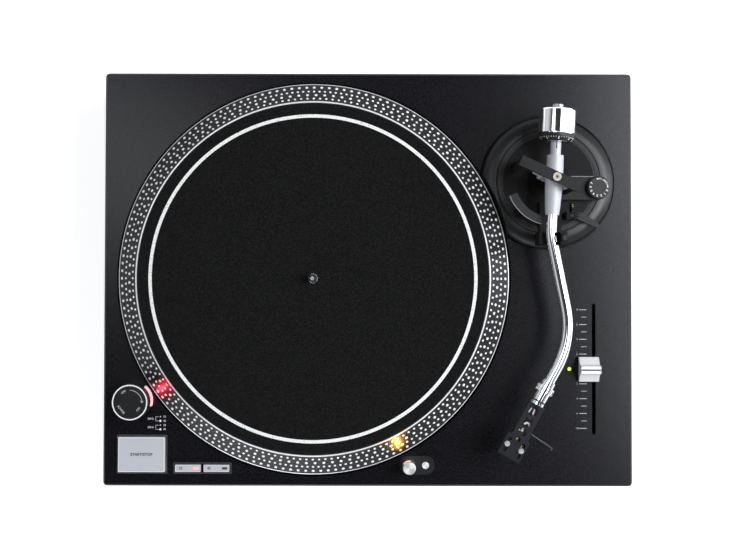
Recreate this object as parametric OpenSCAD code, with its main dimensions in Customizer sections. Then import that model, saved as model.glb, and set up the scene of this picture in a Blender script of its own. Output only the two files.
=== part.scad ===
// Direct drive turntable with an S-shaped tonearm.
// Millimetres. The origin is on the floor under the middle of the plinth.
// +X is to the right, +Y to the back and +Z up.

/* [Plinth] */
// Deck left of the platter's well
deck_left = 11; // [10:0.5:20]
// Deck in front of the platter's well, and behind it
deck_front = 8; // [7:0.5:20]
// Deck right of the tonearm's pivot
deck_right = 72.5; // [70:0.5:90]
// Height of the plinth shell
plinth_h = 42; // [40:1:60]
// Thickness of the plinth's side walls
plinth_wall = 5; // [4:0.5:7]
// Thickness of the deck
deck_t = 5; // [4:0.5:6]
// Corner radius of the plinth in plan
plinth_corner = 4; // [2:0.5:8]
// Bevel along the deck's edge
edge_bevel = 1.5; // [0.5:0.25:2]

/* [Base tray and feet] */
// Height of the base tray
tray_h = 20; // [18:1:30]
// How far the tray's wall stands in from the plinth's
tray_inset = 1.5; // [0:0.5:3]
// Thickness of the tray's floor
tray_floor = 3; // [2:0.5:5]
// Thickness of the tray's wall
tray_wall = 4; // [3:0.5:6]
// Height of a foot
foot_h = 26; // [15:1:40]
// Radius of a foot
foot_r = 25; // [18:1:30]
// Distance from a foot's axis to the plinth's sides
foot_inset_x = 45; // [40:1:60]
// Distance from a foot's axis to the plinth's front and back
foot_inset_y = 41; // [38:1:60]
// Radius of a case screw's shank
screw_r = 1.9; // [1.5:0.1:2.5]

/* [Platter] */
// Platter axis, from the middle of the plinth to the back
platter_y = 0.3; // [-2:0.1:2]
// Outer radius of the platter
platter_r = 165.5; // [160:0.5:166]
// Width of the dotted bevel, seen from above
bevel_w = 17; // [14:0.5:20]
// Height of the platter's top above the deck
platter_rise = 18; // [16:0.5:24]
// Height of the dotted bevel
bevel_h = 14; // [10:0.5:15]
// Depth of the platter's rim below the bevel
rim_drop = 10; // [8:0.5:11]
// Thickness of the platter's top plate
platter_t = 6; // [4:0.5:8]
// Depth of the well below the deck
well_depth = 10; // [9:0.5:12]
// Gap between the platter and the well's wall
well_gap = 2.5; // [2:0.25:3]
// Width of the platter's top left free round the slipmat
mat_inset = 1.5; // [1:0.25:6]
// Thickness of the slipmat
mat_t = 2; // [1:0.25:4]
// Radius of the record pin
pin_r = 3.6; // [3.5:0.05:3.7]
// Height of the record pin's straight part above the slipmat
pin_h = 10; // [6:0.5:14]

/* [Motor] */
// Radius of the spindle shaft
shaft_r = 5; // [4:0.25:6]
// Outer radius of the bearing tube
bearing_r = 13.5; // [11:0.5:15]
// Outer radius of the stator
stator_r = 44.5; // [40:0.5:46]
// Air gap between the stator and the magnet
air_gap = 1.5; // [0.8:0.1:2]
// Thickness of the magnet ring
magnet_t = 8; // [6:0.5:10]
// Height of the stator
stator_h = 6; // [5:0.5:7]
// Number of stator teeth
teeth = 9; // [6:3:9]

/* [Tonearm] */
// Tonearm pivot, from the well's right edge to the right
pivot_clear = 30.5; // [29:0.5:40]
// Tonearm pivot, from the platter's axis to the back
pivot_back = 82.1; // [78:0.1:86]
// Height of the arm's axis above the deck
arm_rise = 40; // [40:0.5:44]
// Way the arm points at rest, from the front toward the right
arm_heading = -3.2; // [-4:0.1:-2]
// Outer radius of the arm tube
tube_r = 4.5; // [4:0.1:4.6]
// Wall of the arm tube
tube_wall = 0.8; // [0.5:0.1:1.2]
// Outer radius of the skirt round the arm base
skirt_r = 56.5; // [55:0.5:58]
// Height of the skirt above the deck
skirt_h = 9.6; // [9:0.2:11]
// Outer radius of the height ring
ring_r = 43.6; // [42.5:0.1:43.8]
// Outer radius of the arm base's platform
base_r = 39.5; // [39:0.1:40]
// Travel of the arm base
arm_lift_travel = 6; // [4:0.5:6]
// Radius of the counterweight
weight_r = 15; // [12:0.5:16]
// Length of the counterweight
weight_l = 20.5; // [16:0.5:24]
// Distance from the pivot to the counterweight's middle
weight_back = 46.3; // [44:0.1:50]
// Length of the headshell
shell_l = 49; // [46:0.5:52]

/* [Controls] */
// Width of the start and stop button
start_w = 39.6; // [34:0.2:41]
// Depth of the start and stop button
start_d = 29.6; // [26:0.2:31]
// Width of a speed button
speed_w = 21.7; // [18:0.1:22]
// Depth of a speed button
speed_d = 6; // [5:0.1:6.5]
// Travel of the start and stop button
start_travel = 2; // [1:0.25:2.5]
// Travel of a speed button
speed_travel = 1; // [0.5:0.25:1.5]
// Radius of the strobe tower and its knob
tower_r = 15; // [13:0.1:15.2]
// Height of the strobe tower
tower_h = 13; // [10:0.5:16]
// Height of the power knob
knob_h = 8.6; // [6:0.2:12]
// Radius of the target lamp
lamp_r = 5.35; // [4.5:0.05:5.4]
// Height of the raised target lamp above its pod
lamp_h = 18; // [14:0.5:20]
// Length of the pitch slot
slot_l = 110.6; // [108:0.2:116]
// Width of the pitch slot
slot_w = 3.1; // [2.6:0.1:3.6]
// Width of the pitch cap
cap_w = 16.7; // [14:0.1:20]
// Length of the pitch cap
cap_l = 20.7; // [16:0.1:24]

/* [Fits] */
// Radial clearance of a shaft that turns or slides in a bore
run_fit = 0.05; // [0.02:0.01:0.08]
// Gap between pieces that move past each other
gap = 0.4; // [0.3:0.05:0.5]

/* [Hidden] */
$fn = 64;
far = 400;
skin = 0.02;
// Levels from the floor up
tray_z = foot_h;
plinth_z = tray_z + tray_h;
deck_z = plinth_z + plinth_h;
deck_under = deck_z - deck_t;
well_z = deck_z - well_depth;
platter_z = deck_z + platter_rise;
platter_under = platter_z - platter_t;
mat_z = platter_z + mat_t;
arm_z = deck_z + arm_rise;

// Plan of the deck: the plinth is as wide as the well, the arm and the deck round them
well_r = platter_r + well_gap;
platter_top_r = platter_r - bevel_w;
mat_r = platter_top_r - mat_inset;
plinth_w = deck_left + 2 * well_r + pivot_clear + deck_right;
plinth_d = 2 * (well_r + deck_front);
platter_x = deck_left + well_r - plinth_w / 2;
pivot_x = platter_x + well_r + pivot_clear;
pivot_y = platter_y + pivot_back;

// Well, bearing and motor
well_wall = 2.5;
well_floor_t = 4;
flange_r = bearing_r + 12.5;
flange_t = 3;
motor_board_t = 1.6;
shoulder_r = bearing_r + 3.5;
shoulder_h = 1.4;
motor_board_r = 58;
stator_z = well_z + flange_t + motor_board_t + shoulder_h;
bearing_top = stator_z + stator_h + 1.5;
bearing_bottom = well_z - 28;
thrust_t = 3;
magnet_r = stator_r + air_gap;
magnet_drop = 14;
hub_r = 20;
hub_drop = 2;
spindle_flange_r = 12;
spindle_flange_t = 4;
nose_r = 4;
pin_tip_h = 3;
motor_screw_r = 1.5;
motor_screw_ring = bearing_r + 7.5;
motor_screws = 3;

// Case screws and feet
inner_corner = 2;
post_r = 5;
post_lap = 1.5;
post_edge = plinth_wall + post_r - post_lap;
post_end = 56;
post_y = plinth_d / 2 - post_end;
case_posts = [for (sx = [-1, 1], sy = [-1, 1]) [sx * (plinth_w / 2 - post_edge), sy * post_y]];
screw_head_r = 3.6;
screw_head_h = 2.2;
screw_grip = 12;
foot_stud_r = 4;
foot_boss_r = 9;
foot_boss_h = 9;

// Controls on the deck
start_left = 13.4;
start_front = 12.1;
speed_left = 8.55;
speed_between = 2.6;
speed_front = 12.2;
start_x = -plinth_w / 2 + start_left + start_w / 2;
start_y = -plinth_d / 2 + start_front + start_d / 2;
speed_33_x = start_x + (start_w + speed_w) / 2 + speed_left;
speed_45_x = speed_33_x + speed_w + speed_between;
speed_y = -plinth_d / 2 + speed_front + speed_d / 2;
start_rise = 3;
speed_rise = 2;
button_flange = 1.7;
button_lip = 1.5;
speed_lip = 1;
speed_tab_d = 4;
plunger_r = 2;
control_board_drop = 13;
control_board_t = 1.6;
control_board_z = deck_under - control_board_drop;
tact_h = 3.5;
tact_w = 7;
control_side = 6.9;
control_front = 4.7;
control_post_r = 2.5;
control_left = start_x - start_w / 2 - control_side;
control_right = speed_45_x + speed_w / 2 + control_side;
control_low = speed_y - speed_d / 2 - control_front;
control_back = start_y + start_d / 2;
control_posts = [[control_left + control_post_r, start_y],
[start_x + start_w / 2 + 2 * control_post_r, start_y],
    [control_right - control_post_r, control_low + control_post_r]];
tower_edge = 1.1;
tower_angle = 214.24;
tower_x = platter_x + (well_r + tower_r + tower_edge) * cos(tower_angle);
tower_y = platter_y + (well_r + tower_r + tower_edge) * sin(tower_angle);
tower_wall = 2.6;
tower_top_t = 3;
knob_stem_r = 3;
tower_boss_r = knob_stem_r + 3;
switch_r = 9;
switch_h = 20;
window_half = 34;
window_turn = -17;
window_z = deck_z + 2.5;
window_h = tower_h - 2.5 - tower_top_t - 1;
pod_r = 7.85;
pod_span = 14.2;
pod_h = 2.2;
pod_edge = 1.8;
lamp_angle = -62.94;
lamp_x = platter_x + (well_r + pod_r + pod_edge) * cos(lamp_angle);
lamp_y = platter_y + (well_r + pod_r + pod_edge) * sin(lamp_angle);
lamp_guide_wall = 1;
lamp_foot = 6;
lens_heading = 113;
lens_half = 38;
lens_h = 6;
release_x = lamp_x + pod_span;
release_r = 3;
release_travel = 1.5;
slot_right = 32.7;
slot_front = 99.8;
slot_x = plinth_w / 2 - slot_right;
slot_y = -plinth_d / 2 + slot_front;
stem_w = slot_w - 2 * gap;
stem_l = 6;
cap_shift = -5;
cap_gap = 2.5;
cap_skirt_h = 3;
cap_ridge_h = 8;
pot_w = 13;
pot_h = 12;
led_left = 20.8;
led_x = slot_x - led_left;
led_y = slot_y;
led_r = 1.5;

// Rear wall
inlet_left = 75;
inlet_x = -plinth_w / 2 + inlet_left;
inlet_z = plinth_z + 18;
inlet_w = 28;
inlet_h = 20;
inlet_l = 24;
inlet_cavity = 16;
inlet_pin_l = 9;
audio_right = 117;
audio_x = plinth_w / 2 - audio_right;
audio_z = plinth_z + 20;
audio_w = 54;
audio_h = 22;
audio_depth = 14;
audio_wall = 2.5;
audio_plate_t = 2;
jack_x = [-18, -4];
jack_r = 4.15;
jack_bore_r = 1.6;
jack_l = 9;
ground_x = 15;

// Boards inside the case
tooth_w = 6;
board_t = 1.6;
main_board_w = 140;
main_board_d = 90;
main_board_right = 45;
main_board_x = plinth_w / 2 - main_board_right - main_board_w / 2;
main_board_y = 10;
board_sunk = 0.1;
board_post_in = 6;
board_post_r = 3.5;
board_post_x = main_board_w / 2 - board_post_in;
board_post_y = main_board_d / 2 - board_post_in;
heat_sink = [40, 12, 16];
can_r = 5;
can_h = 14;
can_step = 20;
chip = [14, 14, 2.2];
plug_block = [20, 8, 9];
main_board_z = tray_z + tray_floor + 7;
transformer_core = [62, 30, 34];
transformer_coil = [38, 50, 20];
transformer_strap = [80, 16, 2];
transformer_left = 85;
transformer_rear = 86;
transformer_x = -plinth_w / 2 + transformer_left;
transformer_y = plinth_d / 2 - transformer_rear;

// Details of the platter and the lamp
rim_wall = 8;
lamp_guide_r = lamp_r + run_fit + lamp_guide_wall;
release_guide_r = release_r + run_fit + 1;
lamp_bottom = deck_z + pod_h - lamp_foot;
lamp_top = deck_z + pod_h + lamp_h - 0.2;
lamp_well_z = lamp_bottom - lamp_h - gap;
release_well_z = deck_under - 6;

// Arm base, from the inside out
base_sleeve_r = base_r - 7.5;
base_sleeve_in = base_sleeve_r - 6;
base_sleeve_l = 28;
skirt_sleeve_in = base_sleeve_r + 2 * run_fit;
skirt_sleeve_r = base_sleeve_r + 4;
skirt_sleeve_l = 16;
skirt_ledge_z = deck_z + 2;
skirt_foot_h = 1.2;
skirt_groove_w = 1.2;
skirt_groove_h = 2;
skirt_top_r = ring_r + 1.4;
ring_z = skirt_ledge_z + 0.2;
ring_flange_h = 2.8;
ring_h = 8.3;
ring_in = base_sleeve_r + 1;
base_z = ring_z + ring_flange_h + gap;
base_t = 4.6;
base_top = base_z + base_t;

// Gimbal, arch and bearings
barrel_r = 7.1;
barrel_front = 30;
barrel_rear = 19;
stub_r = 4.3;
stub_end = weight_back + 14.6;
tilt_dir = -25;
gimbal_half_w = 12.6;
gimbal_half_d = 4.2;
gimbal_wall = 2.6;
gimbal_open = barrel_r + 1.8;
gimbal_top_t = 1.8;
gimbal_bottom_t = 3.7;
gimbal_corner_r = 12.9;
gimbal_top = arm_z + gimbal_open + gimbal_top_t;
gimbal_bottom = arm_z - gimbal_open - gimbal_bottom_t;
ear_reach = 18;
ear_r = 3.5;
tilt_pin_r = 1.2;
lower_shaft_r = 3;
lower_shaft_bottom = base_z + 1.5;
post_top = gimbal_bottom - 0.6;
pivot_post_r = 8;
arch_z = gimbal_top + 0.5;
arch_t = 4.5;
arch_w = 8.5;
arch_left = 32;
arch_right = 20;
arch_leg_at = 13.5;
arch_leg_left = 4;
arch_leg_right = 3.5;
pivot_screw_r = 1.6;
pivot_head_r = 3.4;

// S-shaped tube: straight runs and bends from the barrel to the headshell
tube_inside = 12;
run_lap = 0.4;
run_step = 0.05;
tube_run_1 = 10;
tube_bend_1_r = 50;
tube_bend_1 = 14.5;
tube_run_2 = 54;
tube_bend_2_r = 75;
tube_bend_2 = -40.1;
tube_run_3 = 14.4;
socket_l = 18.5;
socket_r = 5.7;
socket_groove_from = 14.5;
socket_groove_w = 1.4;
socket_groove_r = 4.8;
plug_r = 4;
plug_l = 9.6;
collar_r = 7;
collar_from = 1.9;
collar_l = 5.3;

// Headshell and cartridge
shell_rear_half = 6.9;
shell_front_half = 9.9;
shell_step = 29.3;
shell_top = 2.4;
shell_t = 2.6;
shell_bottom = shell_top - shell_t;
shell_flare = 1.3;
shell_heel = 4;
// Distance and radius of each hole from the headshell's rear edge
shell_holes = [[6.2, 4], [16, 3.9], [25.1, 3.45], [32.1, 2]];
shell_slot_half = 4.9;
shell_slot_at = 39.7;
shell_slot_r = 1.7;
screw_spread = 12.7;
screw_at = 39.2;
cartridge_rear = 25.4;
cartridge_l = 21;
cartridge_w = 16.5;
cartridge_h = 14.3;
cartridge_flange = 4;
cartridge_body_w = 12;
stylus_h = 2.6;
shell_screw_r = 1.1;
finger_at = 23.2;
finger_l = 21;
finger_r = 0.45;
finger_turn = -5;

// Counterweight
weight_sleeve_r = 5.5;
dial_hub_r = 9;
dial_hub_l = 6;
dial_r = weight_r - 0.65;
dial_front_r = 10.8;

// Anti-skate, cue lever, lift and rest, from the pivot
skate_x = 40.4;
skate_y = -5.6;
skate_knob_r = 9.5;
skate_knob_h = 5.1;
skate_stem_r = 2;
skate_left = 9;
skate_half = 9.9;
skate_top = base_top + 6.5;
over_ring = 1;
cue_y = -29;
cue_z = base_top + 4.5;
cue_pin_r = 2;
cue_ears = [14, 20.5];
cue_ear_t = 2.5;
cue_ear_half = 3.1;
cue_slot_w = 2.8;
cue_slot_back = -18.5;
cue_slot_front = -31.5;
cue_slot_h = 3.4;
disc_groove_r = 16.9;
disc_groove_w = 1;
disc_groove_h = 0.6;
lift_r_in = 31.5;
lift_r_out = 38.5;
lift_from = -159;
lift_to = -104;
lift_top = arm_z - 5.7;
lift_t = 4.3;
lift_post_r = 2;
lift_boss_r = 4.2;
lift_boss_h = 10;
lift_mid_r = (lift_r_in + lift_r_out) / 2;
lift_mid = (lift_from + lift_to) / 2;
rest_back = -44;
rest_front = -54;
rest_plate_left = -8;
rest_plate_right = 10.4;
rest_plate_back = -17.8;
rest_foot_front = -36;
rest_plate_t = 2;
rest_left = -11.6;
rest_tube_x = -1.8;
rest_floor_z = arm_z - tube_r - gap;
rest_prong_in = rest_tube_x + tube_r + 1.4;
rest_prong_t = 5.4;
rest_prong_x = rest_prong_in + rest_prong_t / 2;
latch_pin_r = 1;
latch_z = arm_z + tube_r + 1.9;
latch_l = 10;
latch_t = 2.4;
latch_open = 90;
rest_ear_t = 2.5;

// Rounded rectangle centred on the axis
module rounded_slab(w, d, h, r) {
    linear_extrude(h) {
        square([w - 2 * r, d], center = true);
        square([w, d - 2 * r], center = true);
        for (sx = [-1, 1], sy = [-1, 1])
            translate([sx * (w / 2 - r), sy * (d / 2 - r)]) circle(r);
    }
}

module ring(r_out, r_in, h) {
    difference() {
        cylinder(h = h, r = r_out);
        translate([0, 0, -1]) cylinder(h = h + 2, r = r_in);
    }
}

module box(w, d, h) {
    translate([-w / 2, -d / 2, 0]) cube([w, d, h]);
}

// A box centred on the axis, from a list of its three sizes
module block(size) {
    box(size[0], size[1], size[2]);
}

module at_platter() {
    translate([platter_x, platter_y, 0]) children();
}

module at_start() {
    translate([start_x, start_y, 0]) children();
}

module at_tower() {
    translate([tower_x, tower_y, 0]) children();
}

module at_lamp() {
    translate([lamp_x, lamp_y, 0]) children();
}

module at_slot() {
    translate([slot_x, slot_y, 0]) children();
}

module at_inlet() {
    translate([inlet_x, plinth_d / 2, inlet_z]) children();
}

module at_audio() {
    translate([audio_x, plinth_d / 2, audio_z]) children();
}

module at_feet(sx, sy) {
    translate([sx * (plinth_w / 2 - foot_inset_x), sy * (plinth_d / 2 - foot_inset_y), 0]) children();
}

module motor_screw_places() {
    for (i = [0 : motor_screws - 1])
        rotate([0, 0, i * 360 / motor_screws]) translate([motor_screw_ring, 0, 0]) children();
}

// Block whose upper edges are bevelled, in place round the plinth
module plinth_block() {
    w = plinth_w / 2;
    d = plinth_d / 2;
    intersection() {
        translate([0, 0, plinth_z]) rounded_slab(plinth_w, plinth_d, plinth_h, plinth_corner);
        rotate([90, 0, 0]) linear_extrude(far, center = true)
            polygon([[-w, plinth_z], [w, plinth_z], [w, deck_z - edge_bevel], [w - edge_bevel, deck_z],
                [edge_bevel - w, deck_z], [-w, deck_z - edge_bevel]]);
        rotate([90, 0, 90]) linear_extrude(2 * far, center = true)
            polygon([[-d, plinth_z], [d, plinth_z], [d, deck_z - edge_bevel], [d - edge_bevel, deck_z],
                [edge_bevel - d, deck_z], [-d, deck_z - edge_bevel]]);
    }
}

module plinth_openings() {
    at_platter() translate([0, 0, well_z]) cylinder(h = far, r = well_r);
    at_platter() translate([0, 0, plinth_z]) cylinder(h = far, r = bearing_r + 0.1);
    at_platter() motor_screw_places() translate([0, 0, plinth_z])
        cylinder(h = far, r = motor_screw_r + 0.1);
    at_pivot() translate([0, 0, plinth_z]) cylinder(h = far, r = skirt_sleeve_r + 0.3);
    at_pivot() translate([0, 0, deck_z - skirt_groove_h])
        ring(skirt_r + skirt_groove_w, skirt_r - skirt_groove_w, far);
    at_start() translate([0, 0, plinth_z]) rounded_slab(start_w + 2 * gap, start_d + 2 * gap, far, 1);
    for (x = [speed_33_x, speed_45_x])
        translate([x, speed_y, plinth_z]) box(speed_w + 2 * gap, speed_d + 2 * gap, far);
    at_tower() translate([0, 0, plinth_z]) cylinder(h = far, r = knob_stem_r + 0.3);
    at_lamp() translate([0, 0, plinth_z]) cylinder(h = far, r = lamp_guide_r);
    at_lamp() translate([pod_span, 0, plinth_z]) cylinder(h = far, r = release_guide_r);
    at_slot() translate([0, 0, plinth_z]) box(slot_w, slot_l, far);
    translate([led_x, led_y, plinth_z]) cylinder(h = far, r = led_r + skin);
    at_inlet() translate([0, -plinth_wall / 2, -inlet_h / 2]) box(inlet_w, 2 * plinth_wall, inlet_h);
    at_audio() translate([0, 0, -audio_h / 2]) box(audio_w, 2 * audio_depth, audio_h);
    for (p = case_posts)
        translate([p[0], p[1], plinth_z - 1]) cylinder(h = screw_grip + 2, r = screw_r + skin);
}

module plinth() {
    inner_w = plinth_w - 2 * plinth_wall;
    inner_d = plinth_d - 2 * plinth_wall;
    color([0.09, 0.09, 0.1]) difference() {
        union() {
            difference() {
                plinth_block();
                translate([0, 0, plinth_z - 1])
                    rounded_slab(inner_w, inner_d, plinth_h - deck_t + 1, inner_corner);
            }
            at_platter() translate([0, 0, well_z - well_floor_t])
                cylinder(h = deck_z - well_z + well_floor_t - 1, r = well_r + well_wall);
            for (p = case_posts)
                translate([p[0], p[1], plinth_z]) cylinder(h = plinth_h - 1, r = post_r);
            for (p = control_posts)
                translate([p[0], p[1], control_board_z])
                    cylinder(h = control_board_drop + 1, r = control_post_r);
            at_audio() translate([0, -(audio_depth + audio_wall) / 2, -audio_h / 2 - audio_wall])
                box(audio_w + 2 * audio_wall, audio_depth + audio_wall - 1, audio_h + 2 * audio_wall);
        }
        plinth_openings();
    }
}

module base_tray() {
    w = plinth_w - 2 * tray_inset;
    d = plinth_d - 2 * tray_inset;
    color([0.06, 0.06, 0.06]) difference() {
        union() {
            difference() {
                translate([0, 0, tray_z]) rounded_slab(w, d, tray_h, plinth_corner);
                translate([0, 0, tray_z + tray_floor])
                    rounded_slab(w - 2 * tray_wall, d - 2 * tray_wall, tray_h, inner_corner);
            }
            for (p = case_posts)
                translate([p[0], p[1], tray_z + 1]) cylinder(h = tray_h - 1, r = post_r);
            for (sx = [-1, 1], sy = [-1, 1])
                at_feet(sx, sy) translate([0, 0, tray_z + 1])
                    cylinder(h = foot_boss_h - 1, r = foot_boss_r);
            for (sx = [-1, 1], sy = [-1, 1])
                translate([main_board_x + sx * board_post_x, main_board_y + sy * board_post_y, tray_z + 1])
                    cylinder(h = main_board_z - tray_z - 1, r = board_post_r);
        }
        for (p = case_posts)
            translate([p[0], p[1], tray_z - 1]) cylinder(h = tray_h + 2, r = screw_r + 0.2);
        for (sx = [-1, 1], sy = [-1, 1])
            at_feet(sx, sy) translate([0, 0, tray_z - 1])
                cylinder(h = foot_boss_h + 2, r = foot_stud_r + run_fit);
    }
}

module case_screws() {
    color([0.5, 0.5, 0.52]) {
        for (p = case_posts) translate([p[0], p[1], tray_z]) {
            translate([0, 0, -screw_head_h]) cylinder(h = screw_head_h, r = screw_head_r);
            translate([0, 0, -1]) cylinder(h = tray_h + screw_grip, r = screw_r);
        }
        at_platter() motor_screw_places() translate([0, 0, well_z - well_floor_t]) {
            translate([0, 0, -1.8]) cylinder(h = 1.8, r = 2 * motor_screw_r);
            translate([0, 0, -1]) cylinder(h = well_floor_t + flange_t - 0.2, r = motor_screw_r);
        }
    }
}

// A foot: a rubber pad, a waist and a stud into the tray
module foot() {
    color([0.05, 0.05, 0.05]) rotate_extrude()
        polygon([[0, 0], [foot_r - 3, 0], [foot_r - 1, 2], [foot_r - 1, 7], [foot_r - 3, 9],
        [foot_r, 11],
            [foot_r, foot_h - 3], [foot_r - 2, foot_h], [foot_stud_r, foot_h],
            [foot_stud_r, foot_h + foot_boss_h],
            [0, foot_h + foot_boss_h]]);
}

module foot_front_left() {
    at_feet(-1, -1) foot();
}

module foot_front_right() {
    at_feet(1, -1) foot();
}

module foot_rear_left() {
    at_feet(-1, 1) foot();
}

module foot_rear_right() {
    at_feet(1, 1) foot();
}

module bearing_housing() {
    color([0.7, 0.7, 0.72]) at_platter() difference() {
        union() {
            translate([0, 0, bearing_bottom]) cylinder(h = bearing_top - bearing_bottom, r = bearing_r);
            translate([0, 0, well_z]) cylinder(h = flange_t, r = flange_r);
            translate([0, 0, well_z]) cylinder(h = stator_z - well_z, r = shoulder_r);
        }
        translate([0, 0, bearing_bottom + thrust_t]) cylinder(h = far, r = shaft_r + run_fit);
        motor_screw_places() translate([0, 0, well_z - 1])
            cylinder(h = flange_t + 0.6, r = motor_screw_r + skin);
    }
}

module motor_board() {
    color([0.1, 0.3, 0.16]) at_platter() translate([0, 0, well_z + flange_t])
        ring(motor_board_r, shoulder_r + 0.3, motor_board_t);
}

module motor_stator() {
    step = 360 / teeth;
    color([0.45, 0.45, 0.48]) at_platter() translate([0, 0, stator_z]) {
        ring(bearing_r + 6.5, bearing_r + 0.3, stator_h);
        for (i = [0 : teeth - 1]) rotate([0, 0, i * step]) {
            translate([bearing_r + 5, -tooth_w / 2, 0])
                cube([stator_r - bearing_r - 7, tooth_w, stator_h]);
            rotate([0, 0, -step * 0.42]) rotate_extrude(angle = step * 0.84)
                translate([stator_r - 4, 0]) square([4, stator_h]);
        }
    }
}

module motor_coils() {
    step = 360 / teeth;
    l = stator_r - bearing_r - 16;
    color([0.72, 0.4, 0.2]) at_platter() translate([0, 0, stator_z - 1])
        for (i = [0 : teeth - 1]) rotate([0, 0, i * step]) translate([bearing_r + 9.5, 0, 0])
            difference() {
            translate([0, -tooth_w / 2 - 3, 0]) cube([l, tooth_w + 6, stator_h + 2]);
            translate([-1, -tooth_w / 2 - 0.2, 0.8]) cube([l + 2, tooth_w + 0.4, stator_h + 0.4]);
        }
}

module main_board() {
    color([0.1, 0.32, 0.18]) translate([main_board_x, main_board_y, main_board_z]) {
        box(main_board_w, main_board_d, board_t);
        translate([0, 0, board_t - board_sunk]) {
            translate([-main_board_w / 3, main_board_d / 4, 0]) block(heat_sink);
            for (i = [-1 : 1]) translate([i * can_step, -main_board_d / 4, 0])
                cylinder(h = can_h, r = can_r);
            translate([main_board_w / 4, -main_board_d / 8, 0]) block(chip);
            translate([main_board_w / 3, main_board_d / 4, 0]) block(plug_block);
        }
    }
}

module transformer() {
    color([0.35, 0.33, 0.3]) translate([transformer_x, transformer_y, tray_z + tray_floor]) {
        block(transformer_core);
        translate([0, 0, (transformer_core[2] - transformer_coil[2]) / 2]) block(transformer_coil);
        block(transformer_strap);
    }
}

module control_board() {
    color([0.1, 0.32, 0.18]) translate([0, 0, control_board_z - control_board_t]) {
        translate([control_left, control_low, 0])
            cube([control_right - control_left, control_back - control_low, control_board_t]);
        for (p = [[start_x, start_y], [speed_33_x, speed_y], [speed_45_x, speed_y]])
            translate([p[0], p[1], control_board_t - board_sunk])
                box(tact_w, tact_w, tact_h + board_sunk);
    }
}

module power_switch() {
    color([0.12, 0.12, 0.12]) at_tower() translate([0, 0, deck_under - switch_h]) difference() {
        cylinder(h = switch_h, r = switch_r);
        translate([0, 0, switch_h - 12]) cylinder(h = far, r = knob_stem_r + run_fit);
    }
}

module window_sector(r_in, r_out) {
    rotate([0, 0, tower_angle - 180 + window_turn - window_half]) rotate_extrude(angle = 2 * window_half)
        translate([r_in, window_z]) square([r_out - r_in, window_h]);
}

module strobe_tower() {
    color([0.06, 0.06, 0.065]) at_tower() difference() {
        translate([0, 0, deck_z]) cylinder(h = tower_h, r = tower_r);
        translate([0, 0, deck_z - 1])
            ring(tower_r - tower_wall, tower_boss_r, tower_h - tower_top_t + 1);
        translate([0, 0, deck_z - 1]) cylinder(h = far, r = knob_stem_r + run_fit);
        window_sector(tower_r - tower_wall - 1, tower_r + 1);
    }
}

module strobe_window() {
    color([0.95, 0.7, 0.72]) at_tower() window_sector(tower_r - tower_wall, tower_r - 0.05);
}

module pod_outline(r) {
    circle(r);
    translate([pod_span, 0]) circle(r);
    translate([0, -r]) square([pod_span, 2 * r]);
}

module target_pod() {
    color([0.11, 0.11, 0.12]) at_lamp() difference() {
        union() {
            translate([0, 0, deck_z]) linear_extrude(pod_h) pod_outline(pod_r);
            translate([0, 0, lamp_well_z - 1.2])
                cylinder(h = deck_z - lamp_well_z + 2, r = lamp_guide_r - skin);
            translate([pod_span, 0, release_well_z - 1.2])
                cylinder(h = deck_z - release_well_z + 2, r = release_guide_r - skin);
        }
        translate([0, 0, lamp_well_z]) cylinder(h = far, r = lamp_r + run_fit);
        translate([pod_span, 0, release_well_z]) cylinder(h = far, r = release_r + run_fit);
        translate([pod_span, 0, deck_z + pod_h - 1.2]) cylinder(h = far, r = release_r + 1.4);
    }
}

module lens_sector(r_in, r_out) {
    rotate([0, 0, lens_heading - lens_half]) rotate_extrude(angle = 2 * lens_half)
        translate([r_in, lamp_top - 2.5 - lens_h]) square([r_out - r_in, lens_h]);
}

module target_lamp() {
    color([0.8, 0.8, 0.82]) at_lamp() difference() {
        translate([0, 0, lamp_bottom]) cylinder(h = lamp_top - lamp_bottom, r = lamp_r);
        lens_sector(lamp_r - 2, lamp_r + 1);
    }
}

module target_lens() {
    color([1, 0.85, 0.6]) at_lamp() lens_sector(lamp_r - 2, lamp_r - 0.05);
}

module target_button() {
    color([0.85, 0.85, 0.87]) at_lamp() translate([pod_span, 0, release_well_z + release_travel + gap])
        cylinder(h = deck_z + pod_h + 0.6 - release_well_z - release_travel - gap, r = release_r);
}

module pitch_pot() {
    color([0.2, 0.2, 0.22]) at_slot() difference() {
        translate([0, 0, deck_under - pot_h]) box(pot_w, slot_l + 16, pot_h);
        translate([0, 0, deck_under - 8]) box(slot_w + 1, slot_l, 9);
    }
}

module pitch_led() {
    color([0.4, 0.9, 0.4]) translate([led_x, led_y, 0]) {
        translate([0, 0, deck_under - 3]) cylinder(h = 3, r = led_r + 0.8);
        translate([0, 0, deck_under - 1]) cylinder(h = deck_t + 1.4, r = led_r);
    }
}

module pitch_stem() {
    color([0.3, 0.3, 0.32]) at_slot() translate([0, 0, deck_under - 7])
        box(stem_w, stem_l, deck_t + 7 + cap_gap);
}

module pitch_cap() {
    top = cap_skirt_h + cap_ridge_h + 2.5;
    foot = cap_l / 2;
    color([0.86, 0.86, 0.87]) at_slot() translate([cap_shift, 0, deck_z + cap_gap]) rotate([90, 0, 90])
        linear_extrude(cap_w, center = true)
            polygon([[-foot, 0], [foot, 0], [foot, cap_skirt_h], [4.2, cap_skirt_h + 4], [3.2, top],
                [0.7, top], [0, top - 0.8], [-0.7, top], [-3.2, top], [-4.2, cap_skirt_h + 4],
                [-foot, cap_skirt_h]]);
}

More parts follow.
